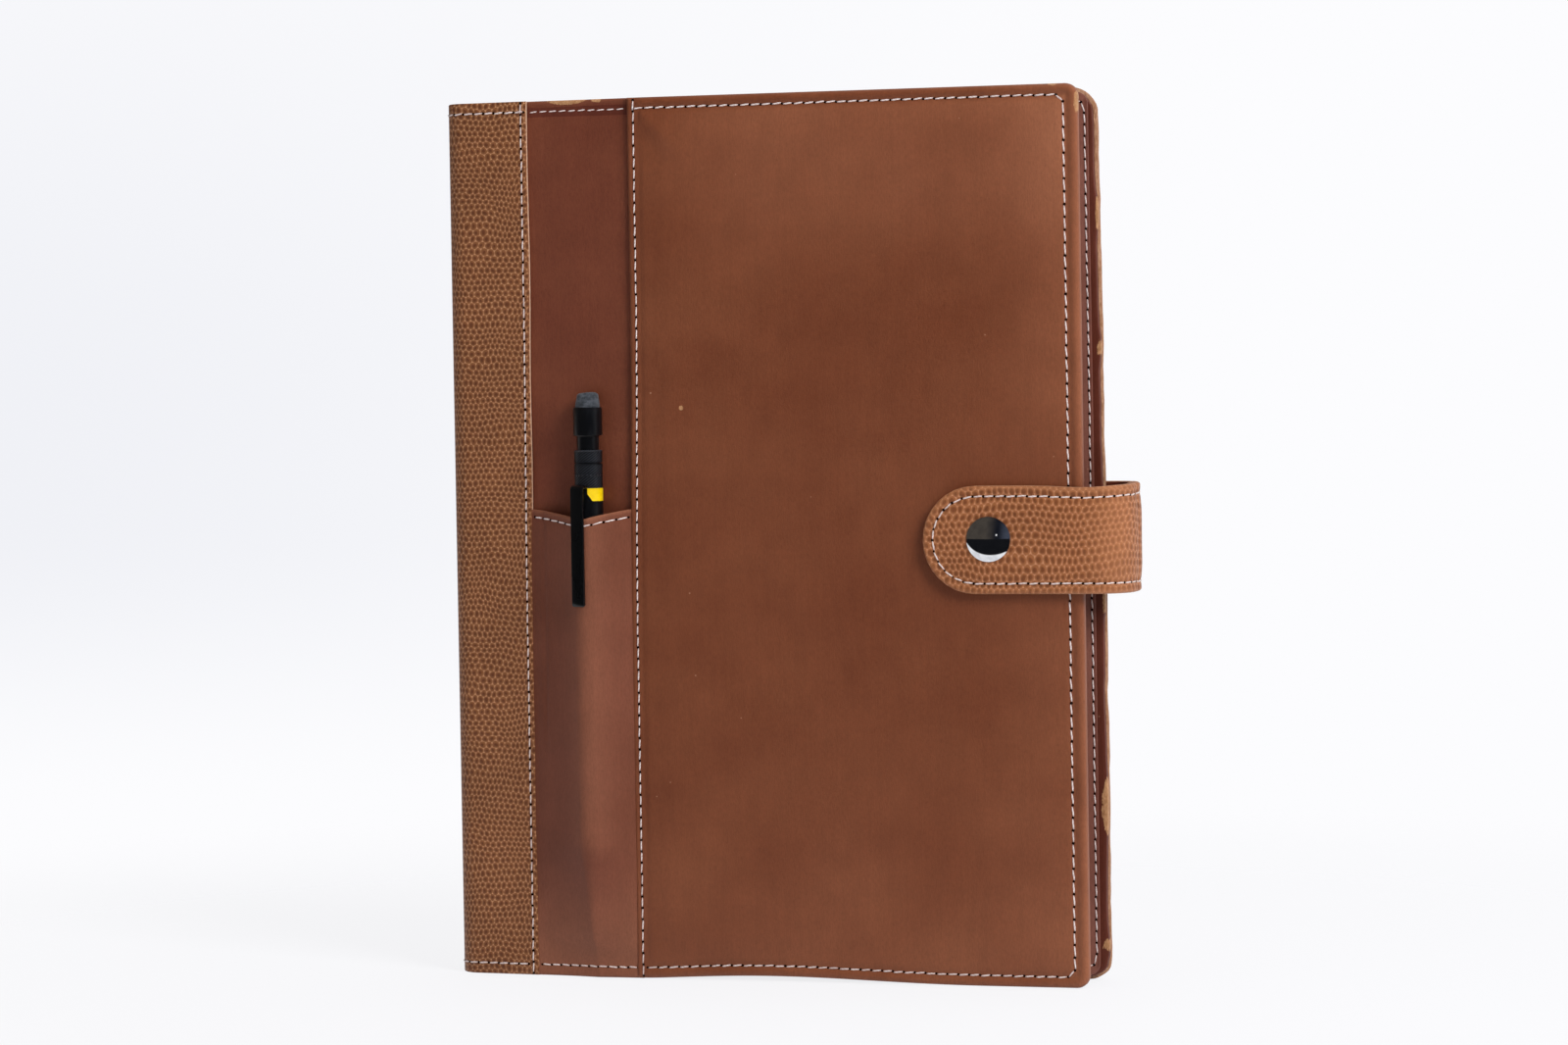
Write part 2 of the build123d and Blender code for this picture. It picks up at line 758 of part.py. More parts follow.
# Each layer's depths under the strap's outer surface, and its hole for the snap's socket
strap_layers = {
    "leather": (0, strap_leather, socket_hub_radius + rivet_clearance),
    "lining": (strap_leather, strap_thickness, socket_radius + rivet_clearance),
}
for layer_name, (near, far, hole_radius) in strap_layers.items():
    with BuildPart() as free_end:
        with BuildSketch(Plane.XY.offset(strap_bottom)):
            with BuildLine():
                free_end_lines(near, far)
            make_face()
        extrude(amount=strap_width)
        tip = free_end.faces().filter_by(Axis.X).sort_by(Axis.X)[0]
        fillet(tip.edges().filter_by(Axis.Y), strap_width / 2 - layer_clearance)
        with BuildSketch(facing(strap_front_y + far)):
            with Locations((snap_x, strap_centre)):
                Circle(hole_radius)
        extrude(amount=far - near, mode=Mode.SUBTRACT)
    free_end.part.label = f"strap_{layer_name}"
    export_step(free_end.part, f"parts/strap_{layer_name}.step")

    with BuildPart() as loop:
        with BuildSketch(Plane.XY.offset(strap_bottom)):
            with BuildLine():
                loop_lines(near, far)
            make_face()
        extrude(amount=strap_width)
    loop.part.label = f"strap_loop_{layer_name}"
    export_step(loop.part, f"parts/strap_loop_{layer_name}.step")

    with BuildPart() as tail:
        with BuildSketch(Plane.XY.offset(strap_bottom)):
            with BuildLine():
                tail_lines(near, far)
            make_face()
        extrude(amount=strap_width)
        fillet(tail.edges().filter_by(Axis.Y).group_by(Axis.X)[0], tail_corner)
    tail.part.label = f"strap_tail_{layer_name}"
    export_step(tail.part, f"parts/strap_tail_{layer_name}.step")

# %% Snap fastener
# Heights are measured out of the front from the panel's surface.
strap_face = strap_gap + strap_thickness
lining_face = strap_gap + strap_lining
cavity_radius = stud_radius + snap_play
cavity_top = strap_face - socket_wall
stud_top = cavity_top - snap_play
cap_radius_outer = cap_diameter / 2
snap_axis = Axis((snap_x, front_y, strap_centre), (0, -1, 0))
snap_section = Plane(
    origin=(snap_x, front_y, strap_centre), x_dir=(1, 0, 0), z_dir=(0, 0, -1)
)

# The cap is a dome on the strap's leather, riveted through the top of the socket.
with BuildPart() as snap_cap:
    with BuildSketch(snap_section):
        with BuildLine():
            Polyline(
                (0, strap_face + cap_rim + cap_dome),
                (0, cavity_top + rivet_clearance),
                (post_radius, cavity_top + rivet_clearance),
                (post_radius, strap_face),
                (cap_radius_outer, strap_face),
                (cap_radius_outer, strap_face + cap_rim),
            )
            TangentArc(
                (0, strap_face + cap_rim + cap_dome),
                (cap_radius_outer, strap_face + cap_rim),
                tangent=(1, 0),
            )
        make_face()
    revolve(axis=snap_axis)
snap_cap.part.label = "snap_cap"
export_step(snap_cap.part, "parts/snap_cap.step")

# The socket's flange fills the strap's lining, and its hub passes through the leather.
with BuildPart() as snap_socket:
    with BuildSketch(snap_section):
        with BuildLine():
            Polyline(
                (cavity_radius, strap_gap),
                (socket_radius, strap_gap),
                (socket_radius, lining_face),
                (socket_hub_radius, lining_face),
                (socket_hub_radius, strap_face),
                (post_radius + rivet_clearance, strap_face),
                (post_radius + rivet_clearance, cavity_top),
                (cavity_radius, cavity_top),
                close=True,
            )
        make_face()
    revolve(axis=snap_axis)
snap_socket.part.label = "snap_socket"
export_step(snap_socket.part, "parts/snap_socket.step")

# The stud stands on the panel, and is held by a post from behind the panel's leather.
with BuildPart() as snap_stud:
    with BuildSketch(snap_section):
        with BuildLine():
            Polyline(
                (post_radius + rivet_clearance, 0),
                (stud_base_radius, 0),
                (stud_base_radius, stud_base),
                (stud_neck_radius, stud_base),
                (stud_neck_radius, stud_top - stud_head),
                (stud_radius, stud_top - stud_head / 2),
                (stud_neck_radius, stud_top),
                (0, stud_top),
                (0, stud_top - stud_base),
                (post_radius + rivet_clearance, stud_top - stud_base),
                close=True,
            )
        make_face()
    revolve(axis=snap_axis)
snap_stud.part.label = "snap_stud"
export_step(snap_stud.part, "parts/snap_stud.step")

with BuildPart() as snap_post:
    with BuildSketch(facing(front_y + panel_leather + post_head)):
        with Locations((snap_x, strap_centre)):
            Circle(post_head_radius)
    extrude(amount=post_head)
    with BuildSketch(facing(front_y + panel_leather)):
        with Locations((snap_x, strap_centre)):
            Circle(post_radius)
    extrude(amount=panel_leather + stud_top - stud_base - rivet_clearance)
snap_post.part.label = "snap_post"
export_step(snap_post.part, "parts/snap_post.step")

# %% Where the moving pieces turn
for axis_name, place in (
    ("front fold", front_fold),
    ("back fold", back_fold),
    ("strap swing", strap_swing),
    ("strap unfold", strap_unfold),
):
    print(f"{axis_name}: X {place.X:.3f} Y {place.Y:.3f}")
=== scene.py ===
# %% [markdown]
# # A leather notebook cover
#
# The cover stands closed on a table: an embossed tan spine and back, a smooth brown front panel
# over a darker strip, a pocket with a mechanical pencil, and a strap with a snap round the
# fore-edge. Its solids come from a CAD model, which holds the sizes and the hinges. Here every
# piece gets the shape and finish of real leather, thread, metal and paper.
#
# Many of the new pieces then ride on one of the moving bodies.

import json
import math
import random

import bmesh
import bpy
from mathutils import Matrix, Vector, noise
from mathutils.bvhtree import BVHTree


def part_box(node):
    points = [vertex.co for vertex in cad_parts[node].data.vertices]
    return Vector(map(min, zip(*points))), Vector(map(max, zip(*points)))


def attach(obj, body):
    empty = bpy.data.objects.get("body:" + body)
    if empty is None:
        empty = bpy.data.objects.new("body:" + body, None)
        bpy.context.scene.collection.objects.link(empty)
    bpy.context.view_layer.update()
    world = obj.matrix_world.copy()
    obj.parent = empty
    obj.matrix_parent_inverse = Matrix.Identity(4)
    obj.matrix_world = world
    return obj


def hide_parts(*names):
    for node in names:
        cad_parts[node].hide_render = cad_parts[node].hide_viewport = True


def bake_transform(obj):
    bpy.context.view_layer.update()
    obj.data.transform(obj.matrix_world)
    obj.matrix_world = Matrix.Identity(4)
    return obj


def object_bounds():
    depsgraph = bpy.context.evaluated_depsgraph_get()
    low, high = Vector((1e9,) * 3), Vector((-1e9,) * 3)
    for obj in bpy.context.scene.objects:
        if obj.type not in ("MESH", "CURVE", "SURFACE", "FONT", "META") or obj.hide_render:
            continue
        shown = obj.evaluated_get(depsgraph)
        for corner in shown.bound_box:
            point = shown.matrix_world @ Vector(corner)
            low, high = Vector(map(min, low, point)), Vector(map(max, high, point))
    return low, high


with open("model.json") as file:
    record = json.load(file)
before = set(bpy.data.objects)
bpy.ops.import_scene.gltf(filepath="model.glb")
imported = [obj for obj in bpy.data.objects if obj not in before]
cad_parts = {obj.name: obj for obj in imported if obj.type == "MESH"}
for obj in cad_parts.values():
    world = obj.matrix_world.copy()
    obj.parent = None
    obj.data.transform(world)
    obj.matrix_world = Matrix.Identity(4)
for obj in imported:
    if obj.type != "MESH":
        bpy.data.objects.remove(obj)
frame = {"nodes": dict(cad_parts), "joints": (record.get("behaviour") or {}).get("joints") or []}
cad_low, cad_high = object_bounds()
MM = 0.001
scene = bpy.context.scene
print("CAD box, mm:", [round(side / MM, 1) for side in cad_high - cad_low])

# %% [markdown]
# ## Camera
#
# A long lens from far back keeps the cover's upright edges nearly parallel, as a catalogue wants.
# A 105 mm lens on a full-frame sensor from 1.2 m does that. The camera stands a little to the
# right and above the middle of the cover, and looks down by two degrees.

# %% Place the camera from the panel's fore-edge corner
panel_low, panel_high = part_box("front_panel")
camera_offset = Vector((266.7, -1181.8, 167.4)) * MM
camera_turn = math.radians(16.45)
camera_down = math.radians(2.00)
camera_roll = math.radians(-0.93)

camera_data = bpy.data.cameras.new("camera")
camera_data.lens = 105
camera_data.sensor_width = 36
camera_data.clip_end = 20
camera = bpy.data.objects.new("camera", camera_data)
scene.collection.objects.link(camera)
camera.matrix_world = (
    Matrix.Translation(Vector((panel_high.x, panel_low.y, 0)) + camera_offset)
    @ Matrix.Rotation(camera_turn, 4, "Z")
    @ Matrix.Rotation(math.radians(90) - camera_down, 4, "X")
    @ Matrix.Rotation(camera_roll, 4, "Z")
)
scene.camera = camera
scene.view_settings.view_transform = "Standard"
print("camera at, mm:", [round(c / MM) for c in camera.matrix_world.translation])

# %% [markdown]
# ## Colours and nodes
#
# Colours are written as sRGB hex codes, as they would be picked from a swatch, but a shader works
# in linear light, so one function turns them. A second small function adds a node, sets it up and
# links it, which keeps each material short enough to read as a recipe. It works for every kind of
# node: "Math" and "VectorMath" reckon, "MapRange" eases a value between two limits, "Mix" blends
# two colours, and a noise fed with millimetres divided by a size has lumps of that size.


# %% Helpers for materials
def colour(code):
    """An sRGB hex code as linear red, green, blue and alpha."""
    parts = [int(code[i : i + 2], 16) / 255 for i in (1, 3, 5)]
    linear = [p / 12.92 if p <= 0.04045 else ((p + 0.055) / 1.055) ** 2.4 for p in parts]
    return (*linear, 1.0)


eased_ends = {"interpolation_type": "SMOOTHSTEP"}  # how a MapRange node leaves its limits


def set_inputs(tree, node, inputs):
    """Sets a node's inputs. A value may be a constant, a socket, or a node for its first output."""
    for key, value in inputs.items():
        if isinstance(value, bpy.types.Node):
            value = next(socket for socket in value.outputs if socket.enabled)
        if isinstance(value, bpy.types.NodeSocket):
            tree.links.new(value, node.inputs[key])
        else:
            node.inputs[key].default_value = value


def add_node(tree, kind, *values, **named):
    """Adds a shader node. The values go to its inputs in order, past those not in use.

    A name with a capital is an input too, and any other name is one of the node's settings.
    """
    node = tree.nodes.new("ShaderNode" + kind)
    for key in [k for k in named if k[0].islower()]:
        setattr(node, key, named.pop(key))
    in_use = [i for i, socket in enumerate(node.inputs) if socket.enabled]
    set_inputs(tree, node, {**dict(zip(in_use, values)), **named})
    return node


def new_material(name, sheet=None):
    """An empty Principled material, its node tree, its shader and coordinates in millimetres.

    The coordinates are the object's own, or those of a sheet's flat cut in the named UV map.
    """
    material = bpy.data.materials.new(name)
    material.use_nodes = True
    tree = material.node_tree
    if sheet:
        metres = add_node(tree, "UVMap", uv_map=sheet)
    else:
        metres = add_node(tree, "TexCoord").outputs["Object"]
    place = add_node(tree, "VectorMath", metres, 1 / MM, operation="SCALE")
    return material, tree, tree.nodes["Principled BSDF"], place


# %% [markdown]
# ## Table and light
#
# The cover stands on a white sweep, a sheet that curves up behind it without a corner, so no
# horizon shows. Only the part of it near the cover is lit here, because that part carries the soft
# shadow. Further out the floor lets the world behind show through, which has the same white. The
# room on the viewer's side is dark, and the white ends a hand's width in front of the cover:
# that is what gives polished chrome its dark upper half and its white crescent below.

# %% White sweep
sweep_white = colour("#FCFCFE")
sweep_painted_shade = colour("#F0F1F6")
sweep_size = 12.0
lit_share = 0.16
lit_near, lit_far = 0.16, 0.50
card_front = (-0.118, -0.106)


def sweep_colour(tree, direction):
    """The sweep's white, with painted shade that makes it a little darker to the left, at the height of
    the eye.
    """
    towards = add_node(tree, "SeparateXYZ", direction)
    leftward = add_node(tree, "MapRange", towards.outputs["X"], -0.18, -0.46, **eased_ends)
    low_down = add_node(tree, "MapRange", towards.outputs["Z"], -0.095, -0.03, **eased_ends)
    high_up = add_node(tree, "MapRange", towards.outputs["Z"], 0.12, -0.01, 0.35, 1.0, **eased_ends)
    # Painted shade: the backdrop is darkened to the left at the height of the eye.
    share = add_node(
        tree, "Math", leftward, add_node(tree, "Math", low_down, high_up, operation="MULTIPLY"),
        operation="MULTIPLY",
    )
    return add_node(tree, "Mix", share, sweep_white, sweep_painted_shade, data_type="RGBA")


floor_material, tree, shader, _ = new_material("white_sweep_card")
set_inputs(tree, shader, {"Base Color": colour("#F2F2F4"), "Roughness": 0.7})
place = add_node(tree, "TexCoord").outputs["Object"]
distance = add_node(tree, "VectorMath", place, operation="LENGTH")
far_out = add_node(tree, "MapRange", distance, lit_near, lit_far, **eased_ends)
own_white = add_node(tree, "Emission", sweep_white, 1.0)
see_past = add_node(tree, "BsdfTransparent", (1, 1, 1, 1))
lit_part = add_node(tree, "MixShader", lit_share, own_white, shader)
seen_card = add_node(tree, "MixShader", far_out, lit_part, see_past)
along_depth = add_node(tree, "SeparateXYZ", place).outputs["Y"]
dark_room = add_node(tree, "Emission", colour("#17181B"), 1.0)
mirrored_card = add_node(
    tree, "MixShader", add_node(tree, "MapRange", along_depth, *card_front, **eased_ends),
    dark_room, lit_part,
)
rays = add_node(tree, "LightPath")
to_lens = add_node(
    tree, "Math", rays.outputs["Is Camera Ray"], rays.outputs["Is Transmission Ray"],
    operation="MAXIMUM",
)
shown = add_node(tree, "MixShader", rays.outputs["Is Glossy Ray"], shader, mirrored_card)
shown = add_node(tree, "MixShader", to_lens, shown, seen_card)
set_inputs(tree, tree.nodes["Material Output"], {"Surface": shown})

bm = bmesh.new()
bmesh.ops.create_grid(bm, x_segments=1, y_segments=1, size=sweep_size / 2)
bmesh.ops.translate(bm, verts=bm.verts, vec=(0, 0, cad_low.z))
floor_mesh = bpy.data.meshes.new("floor")
bm.to_mesh(floor_mesh)
bm.free()
floor_mesh.materials.append(floor_material)
floor = bpy.data.objects.new("floor", floor_mesh)
scene.collection.objects.link(floor)

# %% Room light
# Light from the room fills the shadows. Towards the viewer (-Y) the room is dark.
world = bpy.data.worlds.new("room")
scene.world = world
world.use_nodes = True
tree = world.node_tree
direction = add_node(tree, "TexCoord").outputs["Generated"]
towards = add_node(tree, "SeparateXYZ", direction)
bright_side = add_node(tree, "MapRange", towards.outputs["Y"], -0.55, 0.05, **eased_ends)
room_colour = add_node(
    tree, "Mix", bright_side, colour("#26262A"), colour("#E2E2E6"), data_type="RGBA"
)
room = add_node(tree, "Background", room_colour, 0.62)
behind = add_node(tree, "MapRange", towards.outputs["Y"], 0.18, 0.36, **eased_ends)
right_of = add_node(tree, "MapRange", towards.outputs["X"], -0.37, -0.29, **eased_ends)
mirrored_share = add_node(tree, "Math", behind, right_of, operation="MULTIPLY")
brown_side = add_node(
    tree, "Mix", add_node(tree, "MapRange", towards.outputs["X"], -0.35, 0.3, **eased_ends),
    colour("#4A443E"), colour("#1B1D24"), data_type="RGBA",
)
far_window = add_node(tree, "MapRange", towards.outputs["X"], 0.3, 0.78, **eased_ends)
brown_side = add_node(tree, "Mix", far_window, brown_side, colour("#474C59"), data_type="RGBA")
rim_window = add_node(tree, "MapRange", towards.outputs["X"], 0.88, 0.97, **eased_ends)
brown_side = add_node(tree, "Mix", rim_window, brown_side, colour("#D8DADF"), data_type="RGBA")
mirrored_colour = add_node(
    tree, "Mix", mirrored_share, brown_side, colour("#F4F4F6"), data_type="RGBA"
)
mirrored = add_node(tree, "Background", mirrored_colour, 1.0)
paper = add_node(tree, "Background", sweep_colour(tree, direction), 1.0)
rays = add_node(tree, "LightPath")
shown = add_node(tree, "MixShader", rays.outputs["Is Glossy Ray"], room, mirrored)
shown = add_node(tree, "MixShader", rays.outputs["Is Camera Ray"], shown, paper)
set_inputs(tree, tree.nodes["World Output"], {"Surface": shown})


def soft_box(name, place, size, power, aim, mirrored=False):
    """A square soft box that looks at a point. Polished metal shows it only if mirrored is set."""
    data = bpy.data.lights.new(name, "AREA")
    data.shape = "SQUARE"
    data.size = size
    data.energy = power
    lamp = bpy.data.objects.new(name, data)
    lamp.visible_glossy = mirrored
    lamp.location = place
    lamp.rotation_euler = (aim - Vector(place)).to_track_quat("-Z", "Y").to_euler()
    scene.collection.objects.link(lamp)


cover_middle = (cad_low + cad_high) / 2
soft_box("key_box", (1.35, -0.95, 1.05), 0.8, 30.0, cover_middle)
soft_box("fill_box", (-1.3, -1.5, 0.5), 1.2, 6.0, cover_middle)
soft_box("top_box", (0.1, -0.1, 1.8), 1.2, 9.0, cover_middle)
soft_box("glint_lamp", (0.475, -1.52, 0.42), 0.12, 0.05, cover_middle, mirrored=True)

# %% [markdown]
# ## Leather finishes
#
# The spine, the back and the strap are a calf leather pressed between heated plates, which leaves
# rows of small dark dimples in a paler field, and a thin pale ridge between neighbours. The rows
# are a honeycomb lattice, pushed about by noise, so that no two cells are alike. The lattice lies
# in the flat cut of the sheet, so the rows run round the spine as they do on the real thing.
# Where the leather sees wear or is stretched over a bend, the pattern fades; on the strap's bend the
# paler plain colour is also painted highlight.


# %% Torn places and embossed calf
def torn_through(tree, tint, place, nicks=()):
    """Shows undyed fibre at nicks of (centre, radius) and where a piece's "torn" value is high."""
    fibres = add_node(
        tree, "TexNoise", add_node(tree, "VectorMath", place, (0.6, 0.6, 1.2), operation="DIVIDE"),
        Scale=1.0, Detail=4.0, Roughness=0.7,
    )
    torn = add_node(tree, "Attribute", attribute_name="torn").outputs["Fac"]
    for centre, radius in nicks:
        away = add_node(tree, "VectorMath", place, centre, operation="DISTANCE")
        torn = add_node(
            tree, "Math", torn,
            add_node(tree, "MapRange", away, radius, radius * 0.5, **eased_ends),
            operation="MAXIMUM",
        )
    ragged = add_node(tree, "Math", fibres, 0.9, torn, operation="MULTIPLY_ADD")
    raw = add_node(
        tree, "Mix", add_node(tree, "MapRange", fibres, 0.3, 0.7, **eased_ends), colour("#9A6B45"),
        colour("#BE9068"), data_type="RGBA",
    )
    return add_node(
        tree, "Mix", add_node(tree, "MapRange", ragged, 0.98, 1.1, **eased_ends), tint, raw,
        data_type="RGBA",
    )


def embossed_leather(name, cell_width, row_height, small_dot, dimple, field, net):
    """Semi-matt calf with pressed dimples; the sizes of a cell are in millimetres, and the
    size of its dot is a share of it."""
    material, tree, shader, flat = new_material(name, "cut")
    wander = add_node(
        tree, "TexNoise", add_node(tree, "VectorMath", flat, (17, 17, 17), operation="DIVIDE"),
        Scale=1.0, Detail=1.0,
    ).outputs["Color"]
    jitter = add_node(
        tree, "TexNoise", add_node(tree, "VectorMath", flat, (1.9, 1.9, 1.9), operation="DIVIDE"),
        Scale=1.0, Detail=0.0,
    ).outputs["Color"]
    pushed = flat
    for shift, reach in ((wander, 5.0), (jitter, 0.42 * cell_width)):
        shift = add_node(
            tree, "VectorMath", shift, (reach, reach, 0.0), (-reach / 2, -reach / 2, 0.0),
            operation="MULTIPLY_ADD",
        )
        pushed = add_node(tree, "VectorMath", pushed, shift, operation="ADD")
    half_row = math.sqrt(3) / 2
    lattice = add_node(
        tree, "VectorMath", pushed, (cell_width, row_height / half_row, 1.0), operation="DIVIDE"
    )
    distances = []
    for offset in ((0.0, 0.0, 0.0), (0.5, half_row, 0.0)):
        moved = add_node(tree, "VectorMath", lattice, offset, operation="ADD")
        wrapped = add_node(
            tree, "VectorMath", moved, (0.5, half_row, 1.0), (-0.5, -half_row, -1.0),
            operation="WRAP",
        )
        distances.append(add_node(tree, "VectorMath", wrapped, operation="LENGTH"))
    from_centre = add_node(tree, "Math", *distances, operation="MINIMUM")
    clouds, cell_tone, fine = (
        add_node(
            tree, "TexNoise", add_node(tree, "VectorMath", flat, size_mm, operation="DIVIDE"),
            Scale=1.0, Detail=detail,
        )
        for size_mm, detail in (((16, 22, 16), 3.0), ((3.1, 3.1, 3.1), 1.0), ((0.3, 0.3, 0.3), 2.0))
    )
    spread = add_node(
        tree, "Math", add_node(tree, "MapRange", cell_tone, 0.3, 0.7, **eased_ends), 0.08,
        small_dot, operation="MULTIPLY_ADD",
    )
    wobble = add_node(tree, "Math", fine, 0.1, -0.05, operation="MULTIPLY_ADD")
    reach = add_node(tree, "Math", from_centre, wobble, operation="ADD")
    field_share = add_node(
        tree, "Math", add_node(tree, "Math", reach, spread, operation="SUBTRACT"), 0.14,
        operation="DIVIDE",
    )
    field_share = add_node(tree, "MapRange", field_share, -0.5, 0.9, **eased_ends)
    net_share = add_node(tree, "MapRange", reach, 0.462, 0.515, **eased_ends)
    # Where a mesh marks wear, the dots fade to a paler plain colour; on the strap's bend that is painted
    # highlight too.
    wear_and_light = add_node(tree, "Attribute", attribute_name="wear_and_light")
    dots = add_node(tree, "Mix", field_share, colour(dimple), colour(field), data_type="RGBA")
    pattern = add_node(tree, "Mix", net_share, dots, colour(net), data_type="RGBA")
    plain = add_node(tree, "Mix", 0.45, colour(field), colour(net), data_type="RGBA")
    pattern = add_node(tree, "Mix", wear_and_light.outputs["Fac"], pattern, plain, data_type="RGBA")
    pattern = torn_through(tree, pattern, flat)
    shade = add_node(tree, "MapRange", clouds, 0.25, 0.75, 0.93, 1.06, **eased_ends)
    shade = add_node(
        tree, "Math", shade, add_node(tree, "MapRange", fine, 0.2, 0.8, 0.94, 1.06, **eased_ends),
        operation="MULTIPLY",
    )
    tinted = add_node(tree, "VectorMath", pattern, shade, operation="SCALE")
    set_inputs(tree, shader, {"Base Color": tinted})
    raised = add_node(tree, "Math", net_share, 0.5, field_share, operation="MULTIPLY_ADD")
    polish = add_node(tree, "MapRange", raised, 0.0, 1.5, 0.6, 0.44, **eased_ends)
    set_inputs(tree, shader, {"Roughness": polish})
    height = add_node(tree, "Math", fine, 0.1, raised, operation="MULTIPLY_ADD")
    set_inputs(tree, shader, {
        "Normal": add_node(tree, "Bump", Strength=1.0, Distance=0.13 * MM, Height=height),
        "Specular IOR Level": 0.3,
    })
    return material


spine_calf = embossed_leather(
    "embossed_calf_fine", 1.62, 1.62, 0.19, "#683B23", "#865433", "#BE8D66"
)
strap_calf = embossed_leather(
    "embossed_calf_large", 1.78, 2.0, 0.21, "#7B4627", "#9C613B", "#C28863"
)
print("embossed finishes:", spine_calf.name, strap_calf.name)

# %% [markdown]
# The panel, strip and pocket are smooth aniline leather: dyed through, with only a thin wax on
# top. It shows soft clouds of darker and lighter dye, a fine upright grain, small pores, and
# paler places of wear at the edges. Each mesh carries a value from 0 to 1, and the material turns
# paler where it is high: where hands and tables touch the leather, and as painted light where light
# falls on the panel's top, fore side and foot, the pocket's ridge and the sleeves' puffs.


# %% Smooth leather
def smooth_leather(name, deep, middle, wear_and_light_colour, polish=(0.46, 0.58), nicks=()):
    """Waxed aniline leather with clouds, upright grain, pores, flecks, and a paler colour where a mesh
    marks wear and painted light.
    """
    material, tree, shader, place = new_material(name)
    clouds, streaks, grain, pores, mottle = (
        add_node(
            tree, "TexNoise", add_node(tree, "VectorMath", place, size_mm, operation="DIVIDE"),
            Scale=1.0, Detail=detail,
        )
        for size_mm, detail in (
            ((30.0, 30.0, 24.0), 5.0),
            ((1.0, 1.0, 14.0), 2.0),
            ((0.34, 0.34, 1.3), 2.0),
            ((0.55, 0.55, 0.55), 1.0),
            ((7.0, 7.0, 9.0), 3.0),
        )
    )
    flecks = add_node(
        tree, "TexVoronoi",
        add_node(tree, "VectorMath", place, (11.0, 11.0, 11.0), operation="DIVIDE"), Scale=1.0,
        feature="F1",
    )
    dyed = add_node(
        tree, "Mix", add_node(tree, "MapRange", clouds, 0.25, 0.75, **eased_ends), colour(deep),
        colour(middle), data_type="RGBA",
    )
    # The paler colour stands for wear and for painted light, as each mesh marks them.
    wear_and_light = add_node(tree, "Attribute", attribute_name="wear_and_light")
    patchy = add_node(
        tree, "Math", wear_and_light.outputs["Fac"],
        add_node(tree, "MapRange", clouds, 0.2, 0.75, 0.75, 1.0, **eased_ends),
        operation="MULTIPLY",
    )
    worn_and_lit = add_node(tree, "Mix", patchy, dyed, colour(wear_and_light_colour), data_type="RGBA")
    worn_and_lit = add_node(
        tree, "Mix", add_node(tree, "MapRange", flecks, 0.03, 0.012, 0.0, 0.45, **eased_ends), worn_and_lit,
        colour("#C79A7C"), data_type="RGBA",
    )
    worn_and_lit = torn_through(tree, worn_and_lit, place, nicks)
    shade = add_node(
        tree, "Math", add_node(tree, "MapRange", streaks, 0.25, 0.75, 0.97, 1.03, **eased_ends),
        add_node(tree, "MapRange", grain, 0.25, 0.75, 0.92, 1.08, **eased_ends),
        operation="MULTIPLY",
    )
    dark_pores = add_node(tree, "MapRange", pores, 0.26, 0.36, 0.88, 1.0, **eased_ends)
    shade = add_node(tree, "Math", shade, dark_pores, operation="MULTIPLY")
    shade = add_node(
        tree, "Math", shade,
        add_node(tree, "MapRange", mottle, 0.3, 0.7, 0.965, 1.035, **eased_ends),
        operation="MULTIPLY",
    )
    tinted = add_node(tree, "VectorMath", worn_and_lit, shade, operation="SCALE")
    set_inputs(tree, shader, {
        "Base Color": tinted,
        "Roughness": add_node(tree, "MapRange", clouds, 0.2, 0.8, *polish, **eased_ends),
    })
    height = add_node(
        tree, "Math", grain, add_node(tree, "Math", pores, 0.6, operation="MULTIPLY"),
        operation="ADD",
    )
    set_inputs(tree, shader, {
        "Normal": add_node(tree, "Bump", Strength=1.0, Distance=0.03 * MM, Height=height),
        "Specular IOR Level": 0.25,
    })
    return material


panel_nick = (panel_low / MM + Vector((14.5, -0.3, 155.6)), 0.9)
panel_leather = smooth_leather(
    "aniline_leather_brown", "#6F3B24", "#79442B", "#A2674A", nicks=(panel_nick,)
)
strip_leather = smooth_leather("aniline_leather_dark", "#683525", "#743F2B", "#89543D")
pocket_leather = smooth_leather("aniline_leather_pocket", "#663726", "#744231", "#966149")
lining_leather = smooth_leather("calf_lining_dark", "#58291D", "#623124", "#7C4A39")

# %% [markdown]
# Where leather is cut, its edge and back are undyed: pale tan, matt and fibrous.


# %% Cut edges and undyed backs
def raw_leather(name, deep, pale, fibre_mm):
    """The undyed, fibrous side of leather."""
    material, tree, shader, place = new_material(name)
    fibres = add_node(
        tree, "TexNoise",
        add_node(
            tree, "VectorMath", place, (fibre_mm, fibre_mm, fibre_mm * 2.2), operation="DIVIDE"
        ),
        Scale=1.0, Detail=4.0, Roughness=0.7,
    )
    shade = add_node(
        tree, "Mix", add_node(tree, "MapRange", fibres, 0.3, 0.7, **eased_ends), colour(deep),
        colour(pale), data_type="RGBA",
    )
    set_inputs(tree, shader, {
        "Base Color": shade,
        "Normal": add_node(tree, "Bump", Strength=1.0, Distance=0.12 * MM, Height=fibres),
        "Roughness": 0.9,
        "Specular IOR Level": 0.2,
    })
    return material


cut_edge = raw_leather("cut_leather_edge", "#90654E", "#B98C6C", 0.35)
pale_edge = raw_leather("pared_leather_edge", "#B58B70", "#DDBDA4", 0.35)
suede_back = raw_leather("undyed_suede_back", "#9C6E50", "#C2977A", 0.8)

# %% [markdown]
# ## How a sheet of leather is made
#
# A leather worker cuts a sheet flat, pares its edges and then folds it round the boards. The same
# is done here. A blank is a flat rectangle with rounded corners, extruded to its thickness, its
# rims bevelled. Bisecting planes then cut it into a grid, so that it can bend. Its flat place is
# kept as a UV map called "cut". Last, every vertex is moved from its place on the flat blank to its
# place along a route of straight runs and bends.


